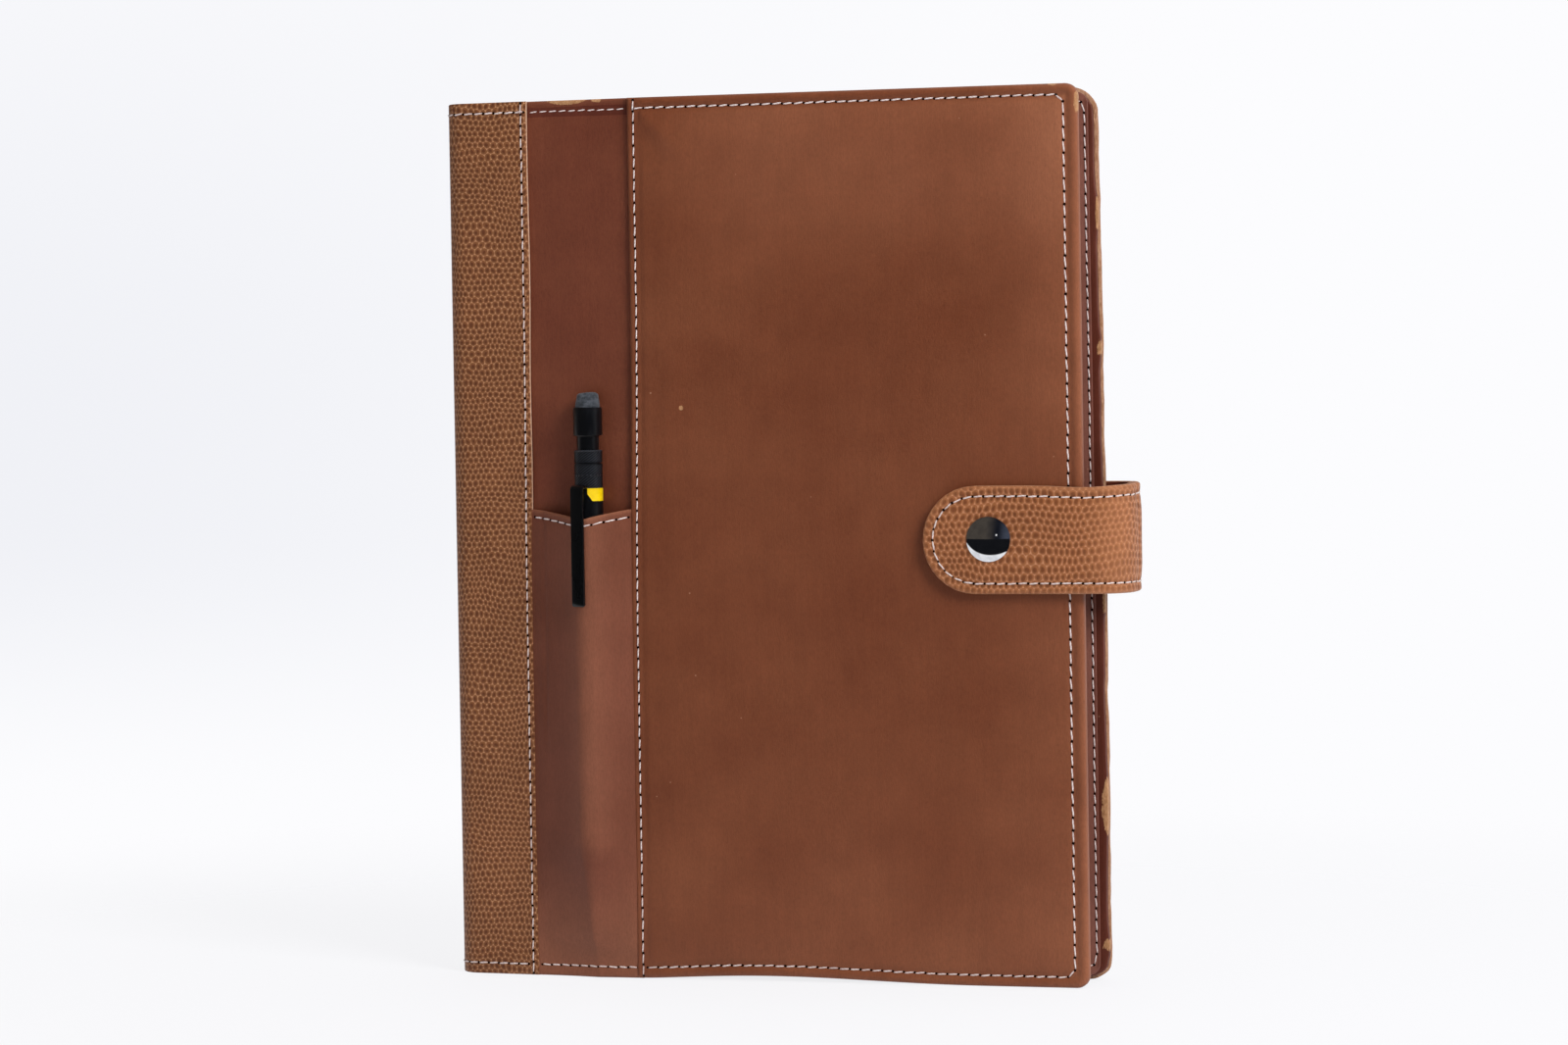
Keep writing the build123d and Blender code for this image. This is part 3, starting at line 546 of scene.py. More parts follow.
# %% Helpers for leather blanks
def leather_blank(low, high, thickness, corners, rims, cuts):
    """A flat closed blank. X runs along the sheet, Z up it, and the outer face looks towards -Y.

    low and high are opposite corners as (along, up). corners are the radii of the corners at
    (low, low), (high, low), (high, high) and (low, high). rims are the bevels of the outer and the
    inner rim. cuts are two lists of places to cut at, along and up.
    """
    bm = bmesh.new()
    bmesh.ops.create_grid(bm, x_segments=1, y_segments=1, size=0.5)
    upright = Matrix.Rotation(math.pi / 2, 3, "X")
    bmesh.ops.rotate(bm, verts=bm.verts, cent=(0, 0, 0), matrix=upright)
    width, height = high[0] - low[0], high[1] - low[1]
    bmesh.ops.scale(bm, verts=bm.verts, vec=(width, 1, height))
    middle = Vector(((low[0] + high[0]) / 2, 0, (low[1] + high[1]) / 2))
    bmesh.ops.translate(bm, verts=bm.verts, vec=middle)
    places = ((low[0], low[1]), (high[0], low[1]), (high[0], high[1]), (low[0], high[1]))
    for (x, z), radius in zip(places, corners):
        if radius:
            corner = min(bm.verts, key=lambda v: (v.co - Vector((x, 0, z))).length)
            bmesh.ops.bevel(
                bm,
                geom=[corner],
                offset=radius,
                offset_type="OFFSET",
                affect="VERTICES",
                segments=8,
                profile=0.5,
                material=-1,
            )
    outer = bm.faces[:]
    made = bmesh.ops.extrude_face_region(bm, geom=outer, use_keep_orig=True)
    inner = [v for v in made["geom"] if isinstance(v, bmesh.types.BMVert)]
    bmesh.ops.translate(bm, verts=inner, vec=(0, thickness, 0))
    bmesh.ops.recalc_face_normals(bm, faces=bm.faces)
    for depth, rim in zip((0.0, thickness), rims):
        if rim:
            edges = [
                e
                for e in bm.edges
                if all(abs(v.co.y - depth) < 1e-7 for v in e.verts)
                and any(abs(f.normal.y) < 0.5 for f in e.link_faces)
            ]
            bmesh.ops.bevel(
                bm,
                geom=edges,
                offset=rim,
                offset_type="OFFSET",
                affect="EDGES",
                segments=4 if rim > 0.6 * MM else 2,
                profile=0.5,
                material=-1,
            )
    for axis, stops in zip((0, 2), cuts):
        normal = Vector((0, 0, 0))
        normal[axis] = 1
        for stop in stops:
            bmesh.ops.bisect_plane(
                bm,
                geom=bm.verts[:] + bm.edges[:] + bm.faces[:],
                dist=1e-7,
                plane_co=normal * stop,
                plane_no=normal,
            )
    cut_map = bm.loops.layers.uv.new("cut")
    for face in bm.faces:
        for loop in face.loops:
            loop[cut_map].uv = (loop.vert.co.x, loop.vert.co.z)
    return bm


def stops(low, high, step, margins=()):
    """Places to cut between two ends: at the margins from each end, and evenly between them."""
    inner = max(margins) if margins else 0
    count = max(1, round((high - low - 2 * inner) / step))
    even = [low + inner + (high - low - 2 * inner) * i / count for i in range(1, count)]
    return sorted(even + [low + m for m in margins] + [high - m for m in margins])


def edge_distance(x, z, low, high, radius):
    """How far inside a rectangle with rounded corners a point lies."""
    across = abs(x - (low[0] + high[0]) / 2) - (high[0] - low[0]) / 2 + radius
    up = abs(z - (low[1] + high[1]) / 2) - (high[1] - low[1]) / 2 + radius
    outside = math.hypot(max(across, 0), max(up, 0))
    return radius - outside - min(max(across, up), 0)


def eased(share):
    """Turns 0..1 into an even rise with soft ends."""
    share = min(max(share, 0), 1)
    return share * share * (3 - 2 * share)


def hump(distance, width):
    """A smooth hump of height 1 about zero."""
    return math.exp(-((distance / width) ** 2))


def follow(route, along, depth=0.0):
    """A place on a route of straight runs and right-hand bends, and the way the sheet faces.

    The depth goes to the inside of the bends.
    """
    place = Vector(route["start"])
    heading = route["heading"]
    left = along
    runs = route["runs"]
    for number, (length, radius) in enumerate(runs):
        step = left if left <= length or number == len(runs) - 1 else length
        inward = Vector((math.sin(heading), -math.cos(heading)))
        if radius:
            centre = place + inward * radius
            heading -= step / radius
            inward = Vector((math.sin(heading), -math.cos(heading)))
            place = centre - inward * radius
        else:
            place = place + Vector((math.cos(heading), math.sin(heading))) * step
        left -= step
        if left <= 0:
            break
    return place + inward * depth, -inward


def bend_along(bm, route, start_depth=0.0):
    """Moves a flat blank's vertices to their places along a route."""
    for v in bm.verts:
        place, _ = follow(route, v.co.x, start_depth + v.co.y)
        v.co = Vector((place.x, place.y, v.co.z))
    bmesh.ops.recalc_face_normals(bm, faces=bm.faces)


def add_piece(bm, name, materials, sharp=math.radians(40)):
    """Turns a bmesh into an object with its materials, smooth but for its sharp edges."""
    mesh = bpy.data.meshes.new(name)
    bm.to_mesh(mesh)
    bm.free()
    for material in materials:
        mesh.materials.append(material)
    mesh.shade_smooth()
    mesh.set_sharp_from_angle(angle=sharp)
    piece = bpy.data.objects.new(name, mesh)
    scene.collection.objects.link(piece)
    print(name, "faces:", len(mesh.polygons))
    return piece


def face_sides(bm, edge_index, back_index, back_limit=0.6):
    """Gives a flat blank's cut edges and inner face their own material indices."""
    for face in bm.faces:
        if face.normal.y > back_limit:
            face.material_index = back_index
        elif face.normal.y > -0.3:
            face.material_index = edge_index


def tear(bm, patches):
    """Marks torn places on a flat blank: each patch is (x, z, half width, half height)."""
    torn = bm.verts.layers.float.new("torn")
    for v in bm.verts:
        v[torn] = max(
            eased(1.5 - 1.5 * math.hypot((v.co.x - x) / wide, (v.co.z - z) / tall))
            for x, z, wide, tall in patches
        )


# %% [markdown]
# ## The route round the cover
#
# All the layers of the cover follow one route: from the fore-edge along the front panel, down a
# slight slope across the strip, round the spine's two corners and along the back. Its sizes are
# read from the frame. Both hinges lie on the leather's outer face, in the middle of a corner, so
# a corner's radius follows from how far its hinge lies from the spine.

# %% Measure the route
hinges = {j["name"]: Vector(j["pos_m"][:2]) for j in frame["joints"] if j.get("pos_m")}
spine_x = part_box("spine_leather")[0].x
seam_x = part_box("front_wrap")[1].x
panel_x = panel_low.x
fore_x = panel_high.x
front_y = panel_low.y
back_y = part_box("back_leather")[1].y
back_edge_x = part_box("back_leather")[1].x
cover_height = panel_high.z
leather = 1.4 * MM
panel_rise = 0.4 * MM
slope = math.radians(3.54)
wrap_y = front_y + panel_rise
spine_radius = (hinges["spine_fold"].x - spine_x) / (1 - math.cos(math.pi / 4))
quarter = math.pi / 2 * spine_radius
front_turn = (math.pi / 2 - slope) * spine_radius
front_tangent_x = spine_x + spine_radius * (1 - math.sin(slope))
slope_length = (panel_x - front_tangent_x) / math.cos(slope)
ease_radius = 5 * MM
ease_length = ease_radius * slope
front_tangent_y = wrap_y + math.tan(slope) * (panel_x - front_tangent_x)
front_centre_y = front_tangent_y + spine_radius * math.cos(slope)
back_centre_y = back_y - spine_radius
spine_flat = back_centre_y - front_centre_y

panel_length = fore_x - panel_x
cover_route = {
    "start": (fore_x, wrap_y),
    "heading": math.pi,
    "runs": [
        (panel_length, None),
        (ease_length, ease_radius),
        (slope_length, None),
        (front_turn, spine_radius),
        (spine_flat, None),
        (quarter, spine_radius),
        (back_edge_x - spine_x - spine_radius, None),
    ],
}
along_panel = panel_length + ease_length
along_seam = along_panel + (panel_x - seam_x) / math.cos(slope)
along_front_bend = along_panel + slope_length
along_middle = along_front_bend + front_turn + spine_flat / 2
along_back_bend = along_middle + spine_flat / 2
along_back = along_back_bend + quarter
along_end = along_back + cover_route["runs"][-1][0]
print("spine radius, mm:", round(spine_radius / MM, 2), "sheet length:", round(along_end / MM))

# %% [markdown]
# ## Spine, wrap and back
#
# One sheet of embossed calf covers the back and the spine and reaches over the front as a narrow
# wrap. It bends at two hinges, and a piece can bend between only two bodies, so the sheet is made
# in two halves that meet in the middle of the spine, where nothing bends.

# %% Embossed sheet
raw_rim = 0.3 * MM
back_corner = 7.5 * MM
back_foot_corner = 5.2 * MM
torn_flaps = [(9.5, 1.6, 3.5), (47, 1.5, 12), (102, 0.8, 5), (170, 1.3, 4.0), (206, 0.8, 7)]


def bend_stops(start, end):
    """Cuts close together round a bend."""
    return [start + (end - start) * i / 14 for i in range(15)]


def waviness(x, z, size, seed=0.0):
    """A gentle swell of a sheet, from about -1 to 1."""
    return noise.noise(Vector((x / size, z / size, seed)))


def back_reach(z):
    """How far the back's soft edge has worked outwards at a height: least at its top."""
    return (0.25 + 0.60 * eased((cover_height - z) / (100 * MM))) * MM


def seam_drift(z, amount):
    """How far a seam has been sewn off its line at a height: the lower half leans to the spine."""
    return amount * eased((cover_height - z - 50 * MM) / (100 * MM))


def ragged_edge(bm, end, reach, amount, seed, creep=0.0):
    """Pulls a cut edge in and out a little, as a knife and years of use leave it.

    A creeping lining reaches further out towards the foot and wherever it is torn.
    """
    for v in bm.verts:
        near = eased(1 - (end - v.co.x) / reach)
        if near > 0:
            pull = noise.noise(Vector((v.co.z / (14 * MM), seed, 0)))
            nick = noise.noise(Vector((v.co.z / (3.2 * MM), seed, 5)))
            flap = max(hump(v.co.z - z * MM, 0.7 * h * MM) for z, _, h in torn_flaps)
            foot = 0.5 * eased((cover_height - v.co.z) / (100 * MM))
            v.co.x += near * (amount * (pull + 0.45 * nick - 0.35) + back_reach(v.co.z))
            v.co.x += near * creep * min(foot + flap, 1.0)


wrap_blank = leather_blank(
    (along_seam, 0),
    (along_middle, cover_height),
    leather,
    (0, 0, 0, 0),
    (raw_rim, raw_rim),
    (
        bend_stops(along_front_bend, along_front_bend + front_turn)
        + [along_seam + m * MM for m in (1.5, 3, 5, 7, 9)],
        stops(0, cover_height, 8 * MM, (3 * MM,)),
    ),
)
face_sides(wrap_blank, 1, 2)
for v in wrap_blank.verts:
    near = v.co.x < along_seam + 1 * MM
    v.co.x += seam_drift(v.co.z, 0.6 * MM) * eased(1 - (v.co.x - along_seam) / (9 * MM))
    if near:
        v.co.x += 0.30 * MM * waviness(0, v.co.z, 30 * MM)
bend_along(wrap_blank, cover_route)
embossed_wrap = add_piece(wrap_blank, "embossed_wrap", [spine_calf, pale_edge, suede_back])
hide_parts("front_wrap", "spine_leather")

back_blank = leather_blank(
    (along_middle, 0),
    (along_end, cover_height),
    leather,
    (0, back_foot_corner, back_corner, 0),
    (0.5 * MM, raw_rim),
    (
        bend_stops(along_back_bend, along_back)
        + stops(along_back, along_end, 9 * MM, (0.8 * MM, 1.6 * MM, 3 * MM)),
        stops(0, cover_height, 3 * MM, (3 * MM, 1.5 * MM)),
    ),
)
face_sides(back_blank, 1, 2)
tear(back_blank, [(along_end, z * MM, w * MM, h * MM) for z, w, h in torn_flaps])
ragged_edge(back_blank, along_end, 2.5 * MM, 0.45 * MM, 3.1)
bend_along(back_blank, cover_route)
embossed_back = add_piece(back_blank, "embossed_back", [spine_calf, cut_edge, suede_back])
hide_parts("back_leather")

# %% [markdown]
# ## Linings and boards
#
# Behind the calf lies grey board, and over the board the lining, whose edges are turned in. The
# lining is made in two halves like the outer sheet. Both take in the thickness of the boards,
# which nobody sees.

# %% Linings
lining_low = leather + 0.05 * MM
lining_thick = 3.6 * MM - lining_low
lining_inset = 0.8 * MM
front_corner = 3.4 * MM
bottom_lift = 1.3 * MM
lift_reach = 97 * MM


def bottom_rise(x, z):
    """How far the front's bottom edge is lifted off the table beside the strip."""
    share = (x - panel_x) / lift_reach
    if not 0 < share < 1:
        return 0.0
    return bottom_lift * math.sin(math.pi * share**0.75) ** 2 * eased(1 - z / (30 * MM))


def place_lift(bm):
    """Lifts the bottom of a piece that is already in place on the front."""
    for v in bm.verts:
        v.co.z += bottom_rise(v.co.x, v.co.z)


lining_top = cover_height - lining_inset
front_lining_blank = leather_blank(
    (lining_inset, lining_inset),
    (along_middle, lining_top),
    lining_thick,
    (front_corner, 0, 0, front_corner),
    (raw_rim, 0.5 * MM),
    (
        bend_stops(along_front_bend, along_front_bend + front_turn)
        + bend_stops(panel_length, along_panel)
        + stops(lining_inset, panel_length, 8 * MM),
        stops(lining_inset, lining_top, 8 * MM),
    ),
)
bend_along(front_lining_blank, cover_route, lining_low)
place_lift(front_lining_blank)
lining_front = add_piece(front_lining_blank, "lining_front", [lining_leather])
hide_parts("front_lining", "spine_lining", "front_board", "spine_backing")

back_lining_end = along_end - 1.05 * MM
back_lining_blank = leather_blank(
    (along_middle, lining_inset),
    (back_lining_end, lining_top),
    lining_thick,
    (0, back_foot_corner - lining_inset, back_corner - lining_inset, 0),
    (raw_rim, 0.4 * MM),
    (
        bend_stops(along_back_bend, along_back)
        + stops(along_back, back_lining_end, 9 * MM, (0.8 * MM, 1.6 * MM, 3 * MM)),
        stops(lining_inset, lining_top, 3 * MM, (3 * MM,)),
    ),
)
tear(back_lining_blank, [(back_lining_end, z * MM, w * MM, h * MM) for z, w, h in torn_flaps])
ragged_edge(back_lining_blank, back_lining_end, 2.5 * MM, 0.35 * MM, 3.1, 1.0 * MM)
bend_along(back_lining_blank, cover_route, lining_low)
lining_back = add_piece(back_lining_blank, "lining_back", [lining_leather])
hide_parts("back_lining", "back_board")

# %% Bake the sheets' transforms
lining_depth = lining_low + lining_thick


def corner_ends(along_from, along_to, depth):
    """The two points, at half height, between which a layer turns at a hinge."""
    ends = []
    for along in (along_from, along_to):
        place, _ = follow(cover_route, along, depth)
        ends.append((place.x, place.y, cover_height / 2))
    return ends


def bend_at_front(piece, depth=0.0):
    """Finds where the piece turns at the front hinge, and bakes its transform into its mesh."""
    front_end, spine_end = corner_ends(along_front_bend, along_front_bend + front_turn, depth)
    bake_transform(piece)


def bend_at_back(piece, depth=0.0):
    """Finds where the piece turns at the back hinge, and bakes its transform into its mesh."""
    spine_end, back_end = corner_ends(along_back_bend, along_back, depth)
    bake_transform(piece)


bend_at_front(embossed_wrap)
bend_at_back(embossed_back)
bend_at_front(lining_front, lining_depth)
bend_at_back(lining_back, lining_depth)

# %% [markdown]
# ## Front panel
#
# The front panel is a board wrapped in smooth leather, with a thin pad between. Its edges are
# turned round the board, so they are round and catch the light. The row of stitches pulls the
# leather down in a shallow valley, and inside it the pad swells again. A flat block would show
# none of this, so the blank's outer face is moved by a function of how far each point lies from
# the edge.

# %% Panel
stitch_inset = 3.1 * MM
panel_corner = 3.4 * MM
panel_thick = 3.2 * MM
turned_rim = 1.35 * MM
panel_size = ((panel_x, 0), (fore_x, cover_height))
seam_inset = 1.95 * MM


def top_fold(x, z):
    """Distance from a soft fold that runs down from the panel's top left corner, or far away."""
    down, across = cover_height - 4.5 * MM - z, x - panel_x - 4 * MM
    if not 0 < down + across < 26 * MM or across < 0:
        return 1.0
    return (across - down) * 0.7


def panel_swell(x, z):
    """How far the panel's face stands out past its margin, beyond the CAD face."""
    inside = edge_distance(x, z, *panel_size, panel_corner)
    from_left = x - panel_x
    valley = 0.42 * hump(inside - stitch_inset, 0.9 * MM) * eased((from_left - 1 * MM) / (3 * MM))
    seam_valley = 0.36 * hump(from_left - seam_inset, 0.8 * MM)
    pad = 0.40 * eased((inside - stitch_inset) / (9 * MM))
    pad *= eased((from_left - seam_inset) / (9 * MM))
    sway = 0.10 * waviness(x, z, 55 * MM, 2.0) + 0.05 * waviness(x, z, 17 * MM, 8.0)
    sway += 0.35 * hump(top_fold(x, z), 1.8 * MM) - 0.18 * hump(top_fold(x, z) + 4 * MM, 3 * MM)
    return (pad - valley - seam_valley + sway * eased(inside / (8 * MM))) * MM


def panel_wear_and_light(x, z):
    """How much the panel is paled by wear and painted light: wear at its edges, and painted light,
    partly wear too, in a line on the fore-edge ridge, a band at the top, the fore side and the foot.
    """
    inside = edge_distance(x, z, *panel_size, panel_corner)
    rim = eased(1 - inside / (1.6 * MM))
    # Painted light, partly wear too: the fore-edge ridge, the top band, the fore side and the foot are
    # paler where light falls on them.
    fore = 0.05 * hump(fore_x - x, 1.6 * MM)
    top = 0.62 * eased(1 - (cover_height - z) / (55 * MM)) * eased((x - panel_x) / (38 * MM))
    top *= eased((inside - 2 * MM) / (3 * MM))
    side = 0.26 * eased(1 - (fore_x - x) / (30 * MM))
    foot = 0.26 * eased(1 - z / (75 * MM))
    patch = 0.55 + 0.45 * eased(0.5 + 0.9 * waviness(x, z, 30 * MM, 4.0))
    return min(1.0, 0.16 * rim + fore + (top + side + foot) * patch)


edge_margins = (1.7, 2.1, 2.5, 2.9, 3.3, 3.7, 4.3, 5.2, 6.2, 7.4, 8.6, 9.8, 11.0, 12.4, 14.0, 16.0)
edge_margins = tuple(m * MM for m in edge_margins)
panel_blank = leather_blank(
    *panel_size,
    panel_thick,
    (0, panel_corner, panel_corner, 0),
    (turned_rim, 0.4 * MM),
    (
        stops(panel_x, fore_x, 4 * MM, edge_margins),
        stops(0, cover_height, 4 * MM, edge_margins),
    ),
)
tear(
    panel_blank,
    [
        (fore_x - 6.5 * MM, cover_height, 2.0 * MM, 1.0 * MM),
        (fore_x - 0.3 * MM, cover_height - 5 * MM, 0.8 * MM, 4.5 * MM),
    ],
)
wear_and_light = panel_blank.verts.layers.float.new("wear_and_light")
for v in panel_blank.verts:
    v[wear_and_light] = panel_wear_and_light(v.co.x, v.co.z)
    share = 1 - v.co.y / panel_thick
    v.co.y += front_y - share * panel_swell(v.co.x, v.co.z)
    v.co.x -= seam_drift(v.co.z, 1.15 * MM) * eased(1 - (v.co.x - panel_x) / (25 * MM))
place_lift(panel_blank)
front_panel = add_piece(panel_blank, "front_panel_leather", [panel_leather])
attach(front_panel, "front_cover")
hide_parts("front_panel")

# %% [markdown]
# ## Strip
#
# Between the wrap and the panel lies a strip of darker leather, sewn under both. It is lower than
# either, so their edges drop a thin shadow on it.

# %% Strip
strip_depth = leather
strip_tuck = 1.2 * MM
strip_low = along_panel - strip_tuck
strip_high = along_seam + strip_tuck


def strip_swell(along, z):
    """The strip rises a little between its seams and is held down along its stitches."""
    across = (along - along_panel) / (along_seam - along_panel)
    ends = min(z, cover_height - z)
    arch = 0.35 * math.sin(math.pi * min(max(across, 0), 1)) * eased((ends - 3 * MM) / (12 * MM))
    valley = 0.22 * hump(ends - stitch_inset, 0.8 * MM)
    return (arch - valley + 0.08 * waviness(along, z, 25 * MM, 6.0)) * MM


strip_blank = leather_blank(
    (strip_low, 0),
    (strip_high, cover_height),
    leather,
    (0, 0, 0, 0),
    (0.6 * MM, 0.2 * MM),
    (
        stops(strip_low, strip_high, 1.4 * MM),
        stops(0, cover_height, 4 * MM, tuple(m * MM for m in (0.7, 1.2, 1.7, 2.2, 2.9, 3.6, 4.6))),
    ),
)
strip_width = strip_high - strip_low - 2 * strip_tuck
tear(
    strip_blank,
    [
        (along_panel + 0.60 * strip_width, cover_height, 9.0 * MM, 2.0 * MM),
        (along_panel + 0.30 * strip_width, cover_height, 2.2 * MM, 1.6 * MM),
    ],
)
wear_and_light = strip_blank.verts.layers.float.new("wear_and_light")
for v in strip_blank.verts:
    ends = min(v.co.z, cover_height - v.co.z)
    v[wear_and_light] = 0.5 * eased(1 - ends / (1.5 * MM))
    v.co.y -= (1 - v.co.y / leather) * strip_swell(v.co.x, v.co.z)
bend_along(strip_blank, cover_route, strip_depth)
front_strip = add_piece(strip_blank, "front_strip_leather", [strip_leather])
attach(front_strip, "front_cover")
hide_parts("front_strip")

# %% [markdown]
# ## Pen pocket
#
# The pocket is a flat piece of leather sewn down at its two sides, so a pencil pushes it up into a
# tent: straight slopes from each seam that meet over the round of the pencil. Lower down the
# pencil tapers, and the tent sinks to a soft shoulder and then to a small bump at the tip. Its
# cross-section is worked out from the two tangents to the pencil.

# %% Pocket
pocket_leather_thick = 1.2 * MM
pocket_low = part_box("pen_pocket")[0].z
pocket_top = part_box("pen_pocket")[1].z
barrel_low, barrel_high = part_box("pencil_barrel")
pencil_axis = Vector(((barrel_low.x + barrel_high.x) / 2, (barrel_low.y + barrel_high.y) / 2))
pencil_radius = (barrel_high.x - barrel_low.x) / 2
play = 0.15 * MM
pencil_across = 11.7 * MM
pencil_reach = pencil_radius + play
mouth_dip = 2.6 * MM
cone_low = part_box("pencil_cone")[0].z
cone_high = barrel_low.z
tip_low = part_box("lead_sleeve")[0].z


def pencil_girth(z):
    """The radius under the leather at a height: barrel, shoulder, cone, tip and nothing below."""
    tip, cone = 0.65 * MM, 1.35 * MM
    if z > cone_high:
        return pencil_reach
    if z > cone_low:
        return cone + (pencil_reach - cone) * (z - cone_low) / (cone_high - cone_low)
    return tip + (cone - tip) * eased((z - tip_low + 2 * MM) / (cone_low - tip_low + 2 * MM))


def tent(across, z):
    """Height of the pocket's outer face over the strip, at a distance from the panel's edge."""
    radius = pencil_girth(z) + pocket_leather_thick
    centre = min(pencil_reach, pencil_reach * eased((z - 5 * MM) / (9 * MM)) + 0.6 * MM)
    offset = across - pencil_across
    reach = pocket_width - pencil_across if offset > 0 else pencil_across
    rise = centre - pocket_leather_thick
    line = math.hypot(reach, rise)
    if radius >= line:
        return pocket_leather_thick
    angle = math.atan2(rise, reach) + math.asin(radius / line)
    touch = radius * math.sin(angle)
    if abs(offset) < touch:
        return centre + math.sqrt(radius**2 - offset**2)
    run = reach - abs(offset)
    sag = 0.45 * MM * math.sin(math.pi * min(max(run / (reach - touch), 0), 1))
    return pocket_leather_thick + run * math.tan(angle) - sag * (1.0 if offset > 0 else 0.35)


pocket_width = along_seam - along_panel
pocket_tuck = 1.0 * MM
crease_across = pocket_width - 3.6 * MM


def mouth_drop(across):
    """The mouth's edge dips where the pencil pushes the leather out."""
    reach = pocket_width - pencil_across if across > pencil_across else pencil_across
    share = 1 - abs(across - pencil_across) / reach
    return mouth_dip * min(max(share, 0), 1) ** 1.2


pocket_rows = tuple(m * MM for m in (1.2, 2.1, 3.0, 4.5))
pocket_blank = leather_blank(
    (along_panel - pocket_tuck, pocket_low),
    (along_seam + pocket_tuck, pocket_top),
    pocket_leather_thick,
    (0, 0, 0, 0),
    (0.45 * MM, 0.2 * MM),
    (
        [along_panel + pocket_width * i / 60 for i in range(61)],
        stops(pocket_low, pocket_top, 3 * MM, pocket_rows),
    ),
)
wear_and_light = pocket_blank.verts.layers.float.new("wear_and_light")
for v in pocket_blank.verts:
    across = min(max(v.co.x - along_panel, 0.1 * MM), pocket_width - 0.1 * MM)
    z = v.co.z
    down = pocket_top - z
    height = tent(across, z) - pocket_leather_thick
    hem = 0.16 * MM * hump(down - 2.1 * MM, 0.8 * MM)
    foot_seam = 0.25 * MM * hump(z - stitch_inset, 0.8 * MM)
    crease = 0.28 * MM * hump(across - crease_across, 0.7 * MM) * eased((z - 55 * MM) / (20 * MM))
    wander = 0.12 * MM * waviness(across, z, 15 * MM, 9.0) * eased(height / (1.5 * MM))
    # The mouth pales with wear and the foot is paler; the ridge over the pencil and the side by the
    # panel are paler partly with wear and partly as painted light, where light falls on them.
    v[wear_and_light] = min(
        1.0,
        0.6 * eased(1 - down / (1.4 * MM))
        + 0.40 * hump(across - pencil_across + 1.5 * MM, 5 * MM) * eased((z - 32 * MM) / (8 * MM))
        + 0.14 * eased(1 - across / (9 * MM))
        + 0.62 * eased(1 - z / (34 * MM)),
    )
    v.co.y -= height - hem - foot_seam - crease + wander
    v.co.z -= mouth_drop(across) * eased((z - 80 * MM) / (pocket_top - 80 * MM))
bend_along(pocket_blank, cover_route, strip_depth - pocket_leather_thick)
pen_pocket = add_piece(pocket_blank, "pen_pocket_leather", [pocket_leather], math.radians(60))
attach(pen_pocket, "front_cover")
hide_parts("pen_pocket")

# %% [markdown]
# ## Strap
#
# The strap is two layers of leather sewn back to back: the embossed calf outside and a thin lining
# inside. It is sewn to the back, loops round both fore-edges and ends in a round tip that snaps to
# the panel. It bends at two hinges, in the middles of the loop's two quarter turns, so each layer
# is made in two halves that meet half way round the loop.

# %% Strap route
tail_low, tail_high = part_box("strap_tail_leather")
loop_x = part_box("strap_loop_leather")[1].x
free_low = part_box("strap_leather")[0]
cos_45 = math.cos(math.pi / 4)
loop_radius = (loop_x - hinges["strap_swing"].x) / (1 - cos_45)
strap_outer = 1.5 * MM
strap_inner = 1.3 * MM
strap_low, strap_high = tail_low.z, tail_high.z
strap_middle = (strap_low + strap_high) / 2
strap_back_y = tail_high.y
strap_front_y = free_low.y
loop_centre_x = loop_x - loop_radius
tail_run = loop_centre_x - tail_low.x
loop_quarter = math.pi / 2 * loop_radius
loop_flat = strap_back_y - strap_front_y - 2 * loop_radius
free_run = loop_centre_x - free_low.x
strap_route = {
    "start": (tail_low.x, strap_back_y),
    "heading": 0.0,
    "runs": [
        (tail_run, None),
        (loop_quarter, loop_radius),
        (loop_flat, None),
        (loop_quarter, loop_radius),
        (free_run, None),
    ],
}
first_turn_end = tail_run + loop_quarter
strap_split = first_turn_end + loop_flat / 2
second_turn = first_turn_end + loop_flat
strap_end = second_turn + loop_quarter + free_run
tip_radius = (strap_high - strap_low) / 2 - 0.1 * MM
tail_corner = 4 * MM
strap_stitch = 2.8 * MM
snap_low, snap_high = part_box("snap_cap")
snap_x = (snap_low.x + snap_high.x) / 2
snap_along = strap_end - (snap_x - free_low.x)
snap_radius = (snap_high.x - snap_low.x) / 2
print("strap length, mm:", round(strap_end / MM, 1), "snap at", round(snap_along / MM, 1))

# %% Strap layers


def strap_inside(along, z):
    """How far inside the strap's outline a point of the flat strap lies."""
    if along > strap_split:
        low, high, radius = -strap_end, strap_end, tip_radius
    else:
        low, high, radius = 0, 2 * strap_end, tail_corner
    return edge_distance(along, z, (low, strap_low), (high, strap_high), radius)


def strap_swell(along, z):
    """The strap swells a little inside its stitches and dips towards the snap."""
    inside = strap_inside(along, z)
    valley = 0.22 * hump(inside - strap_stitch, 0.7 * MM)
    swell = 0.28 * eased((inside - strap_stitch) / (5 * MM))
    from_snap = math.hypot(along - snap_along, z - strap_middle)
    dimple = 0.30 * eased(1 - (from_snap - snap_radius * 0.9) / (5 * MM))
    sway = 0.06 * waviness(along, z, 12 * MM, 3.0) * eased(inside / (4 * MM))
    return (swell - valley - dimple + sway) * MM


def strap_lift(along, z):
    """The strap's upper edge stands higher behind the loop and dips as it comes round."""
    up = eased((z - strap_middle) / (strap_high - strap_middle))
    behind = 0.35 * eased((second_turn + 3 * MM - along) / (9 * MM))
    return up * (behind - 0.6 * hump(along - second_turn - loop_quarter - 1 * MM, 9 * MM)) * MM


